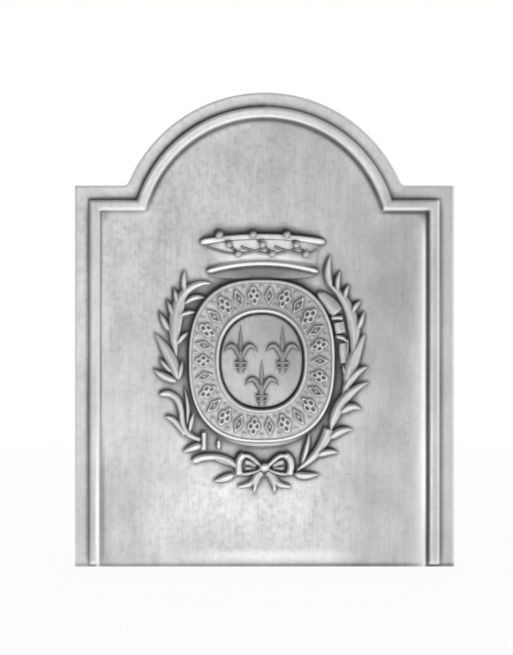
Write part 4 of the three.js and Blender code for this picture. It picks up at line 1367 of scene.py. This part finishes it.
built = {name: build(name, piece) for name, piece in relief_pieces.items()}
for name, object_ in built.items():
    print(f"{name}: {len(object_.data.polygons)} faces")

# %% [markdown]
# ## Back and hardware
#
# Two cast feet are screwed to bosses on the back. The CAD solids already have their true shape, so they
# keep it and only get their finish. The plate itself has two: brushed in front and on its edge, as cast
# behind.

# %% Finish of the feet and screws
BRUSHED_EDGE = 1.5
plate_object = built["plate_casting"]
plate_object.data.materials.append(rough_iron)
behind = np.zeros(len(plate_object.data.polygons), np.int32)
centres = np.zeros(len(plate_object.data.polygons) * 3)
plate_object.data.polygons.foreach_get("center", centres)
behind[centres.reshape(-1, 3)[:, 1] > (-face_y - BRUSHED_EDGE) * MM] = 1
plate_object.data.polygons.foreach_set("material_index", behind)

hardware = {"rear_foot": rough_iron, "foot_bolt": steel, "foot_washer": steel}
for name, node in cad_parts.items():
    for start, finish in hardware.items():
        if name.startswith(start):
            node.data.materials.clear()
            node.data.materials.append(finish)
print(int(behind.sum()), "of", len(behind), "plate faces as cast")

# %% [markdown]
# ## Room and floor
#
# The plate is photographed on white. The camera itself sees pure white, but a bright metal is only as
# good as what it mirrors, so reflections see another room: white behind the plate, greyer in front of it,
# and greyest at the left and overhead. Slopes that face right and down shine and those that face left and
# up stay dark: that is what makes a relief readable. The floor is a white disc that repeats the room's
# brightness for the camera and for reflections, and still takes the object's shadow.

# %% Room
ROOM_FRONT = 0.5
ROOM_SHADE = 0.45
WHITE = (1, 1, 1, 1)


def room_level(tree, x, y, z):
    """How bright the room is in a direction: white behind, ROOM_FRONT in front, times ROOM_SHADE
    towards the upper left. The shade goes by 0.6 of x less 0.8 of z."""
    depth = add(tree, "ShaderNodeMapRange", span(y, -0.6, 0.1, ROOM_FRONT, 1.0))
    across = add(tree, "ShaderNodeMath", {0: x, 1: 0.6}, operation="MULTIPLY")
    slant = add(tree, "ShaderNodeMath", {0: z, 1: -0.8, 2: across.outputs[0]}, operation="MULTIPLY_ADD")
    shade = add(tree, "ShaderNodeMapRange", span(slant.outputs[0], -0.65, -0.26, ROOM_SHADE, 1.0))
    behind_plate = add(tree, "ShaderNodeMapRange", span(y, -0.3, 0.1))
    side = {0: shade.outputs[0], 1: behind_plate.outputs[0]}
    open_side = add(tree, "ShaderNodeMath", side, operation="MAXIMUM")
    both = {0: depth.outputs[0], 1: open_side.outputs[0]}
    return add(tree, "ShaderNodeMath", both, operation="MULTIPLY").outputs[0]


world = bpy.data.worlds.new("pale_room")
bpy.context.scene.world = world
world.use_nodes = True
room = world.node_tree
room.nodes.clear()
direction = add(room, "ShaderNodeTexCoord").outputs["Generated"]
ways = add(room, "ShaderNodeSeparateXYZ", {0: direction})
eye = add(room, "ShaderNodeLightPath").outputs["Is Camera Ray"]
seen_level = add(room, "ShaderNodeMath", {0: room_level(room, *ways.outputs), 1: eye}, operation="MAXIMUM")
sky = add(room, "ShaderNodeBackground", {0: WHITE, 1: seen_level.outputs[0]})
add(room, "ShaderNodeOutputWorld", {0: sky.outputs[0]})
print("room with", len(room.nodes), "nodes")

# %% Floor
FLOOR_RADIUS = 2.6
FLOOR_CORNERS = 96


def floor_material(radius):
    """Matt white under a glow that only the camera and reflections see: 0.93 of it, and all of it at the
    rim. The glow is white to the camera; to reflections it turns into the room's level towards the rim."""
    material, tree = empty_material("matt_white_floor")
    matt = add(tree, "ShaderNodeBsdfPrincipled", {"Base Color": linear("#F4F4F4"), "Roughness": 0.95})
    place = add(tree, "ShaderNodeTexCoord").outputs["Object"]
    distance = add(tree, "ShaderNodeVectorMath", {0: place}, operation="LENGTH").outputs["Value"]
    rays = add(tree, "ShaderNodeLightPath").outputs
    to_rim = add(tree, "ShaderNodeMapRange", span(distance, 0.35 * radius, 0.95 * radius, 0.93, 1.0))
    direct = {0: rays["Is Camera Ray"], 1: rays["Is Glossy Ray"]}
    seen = add(tree, "ShaderNodeMath", direct, operation="MAXIMUM")
    any_ray = {0: seen.outputs[0], 1: rays["Is Transmission Ray"]}
    seen = add(tree, "ShaderNodeMath", any_ray, operation="MAXIMUM")
    share = add(tree, "ShaderNodeMath", {0: seen.outputs[0], 1: to_rim.outputs[0]}, operation="MULTIPLY")

    outward = add(tree, "ShaderNodeVectorMath", {0: place, "Scale": 1 / radius}, operation="SCALE")
    ways = add(tree, "ShaderNodeSeparateXYZ", {0: outward.outputs[0]})
    far = add(tree, "ShaderNodeMapRange", span(distance, 0.6 * radius, radius))
    fading = {0: far.outputs[0], 2: 1.0, 3: room_level(tree, *ways.outputs)}
    level = add(tree, "ShaderNodeMix", fading, data_type="FLOAT")
    to_eye = {0: level.outputs[0], 1: rays["Is Camera Ray"]}
    seen_level = add(tree, "ShaderNodeMath", to_eye, operation="MAXIMUM")
    glow = add(tree, "ShaderNodeEmission", {"Color": WHITE, 1: seen_level.outputs[0]})
    mix = add(tree, "ShaderNodeMixShader", {0: share.outputs[0], 1: matt.outputs[0], 2: glow.outputs[0]})
    add(tree, "ShaderNodeOutputMaterial", {"Surface": mix.outputs[0]})
    return material


angle = np.linspace(0, 2 * np.pi, FLOOR_CORNERS + 1)[:-1]
floor_rim = np.stack([FLOOR_RADIUS * np.cos(angle), FLOOR_RADIUS * np.sin(angle), 0 * angle], -1)
floor_mesh = bpy.data.meshes.new("floor")
floor_mesh.from_pydata(floor_rim.tolist(), [], [list(range(FLOOR_CORNERS))])
floor_mesh.materials.append(floor_material(FLOOR_RADIUS))
floor = bpy.data.objects.new("floor", floor_mesh)
bpy.context.scene.collection.objects.link(floor)
print("floor", 2 * FLOOR_RADIUS, "m across")

# %% [markdown]
# ## Lamps
#
# Four soft squares. A large one stands low at the right, the side that the painted shade and painted
# highlights are laid for, and rakes over the relief. A small one lies on the hearth close in front and
# brightens the foot of the field. A fill by the camera, on the left, lifts the flat face, and a weak one
# from above keeps the arch from going grey.

# %% Lamps
def soft_lamp(name, place, aim, size, level):
    """A square lamp, size metres wide. level is the white that it alone would give a white card at its
    aim: the power for that is pi squared times the distance squared."""
    away = Vector(place) - Vector(aim)
    light = bpy.data.lights.new(name, "AREA")
    light.shape = "SQUARE"
    light.size = size
    light.energy = level * np.pi ** 2 * away.length ** 2
    lamp = bpy.data.objects.new(name, light)
    lamp.location = place
    lamp.rotation_euler = away.to_track_quat("Z", "Y").to_euler()
    bpy.context.scene.collection.objects.link(lamp)
    print(name, round(light.energy, 1), "W")


middle = (0, 0, plate_height / 2 * MM)
soft_lamp("low_right_lamp", (1.3, -0.8, 0.12), middle, 1.0, 0.1)
soft_lamp("hearth_lamp", (-0.01, -0.25, 0.035), middle, 0.2, 0.22)
soft_lamp("left_fill_lamp", (-0.6, -1.7, 0.2), middle, 0.9, 0.145)
soft_lamp("high_lamp", (-0.1, -1.3, 0.75), middle, 0.6, 0.075)

# %% [markdown]
# ## Camera
#
# The photograph looks straight at the front, a little above the plate's middle. A long lens keeps the
# plate's sides from showing.

# %% Camera
# Places in the photograph are in its pixels, from its upper left corner.
PHOTO_WIDTH, PHOTO_HEIGHT = 513, 655
PLATE_LEFT, PLATE_RIGHT = 74.5, 454.5
PLATE_FOOT = 567
pixel_mm = plate_width / (PLATE_RIGHT - PLATE_LEFT)
view_x = (PHOTO_WIDTH - PLATE_LEFT - PLATE_RIGHT) / 2 * pixel_mm
view_z = (PLATE_FOOT - PHOTO_HEIGHT / 2) * pixel_mm
LENS, SENSOR = 100, 36
distance = LENS / SENSOR * PHOTO_HEIGHT * pixel_mm
camera_data = bpy.data.cameras.new("camera")
camera_data.sensor_fit = "VERTICAL"
camera_data.sensor_height = SENSOR
camera_data.lens = LENS
camera = bpy.data.objects.new("camera", camera_data)
camera.location = (view_x * MM, (face_y - distance) * MM, view_z * MM)
camera.rotation_euler = (np.pi / 2, 0, 0)
bpy.context.scene.collection.objects.link(camera)
bpy.context.scene.camera = camera
bpy.context.scene.view_settings.view_transform = "Standard"
print("camera at", [round(v, 3) for v in camera.location])
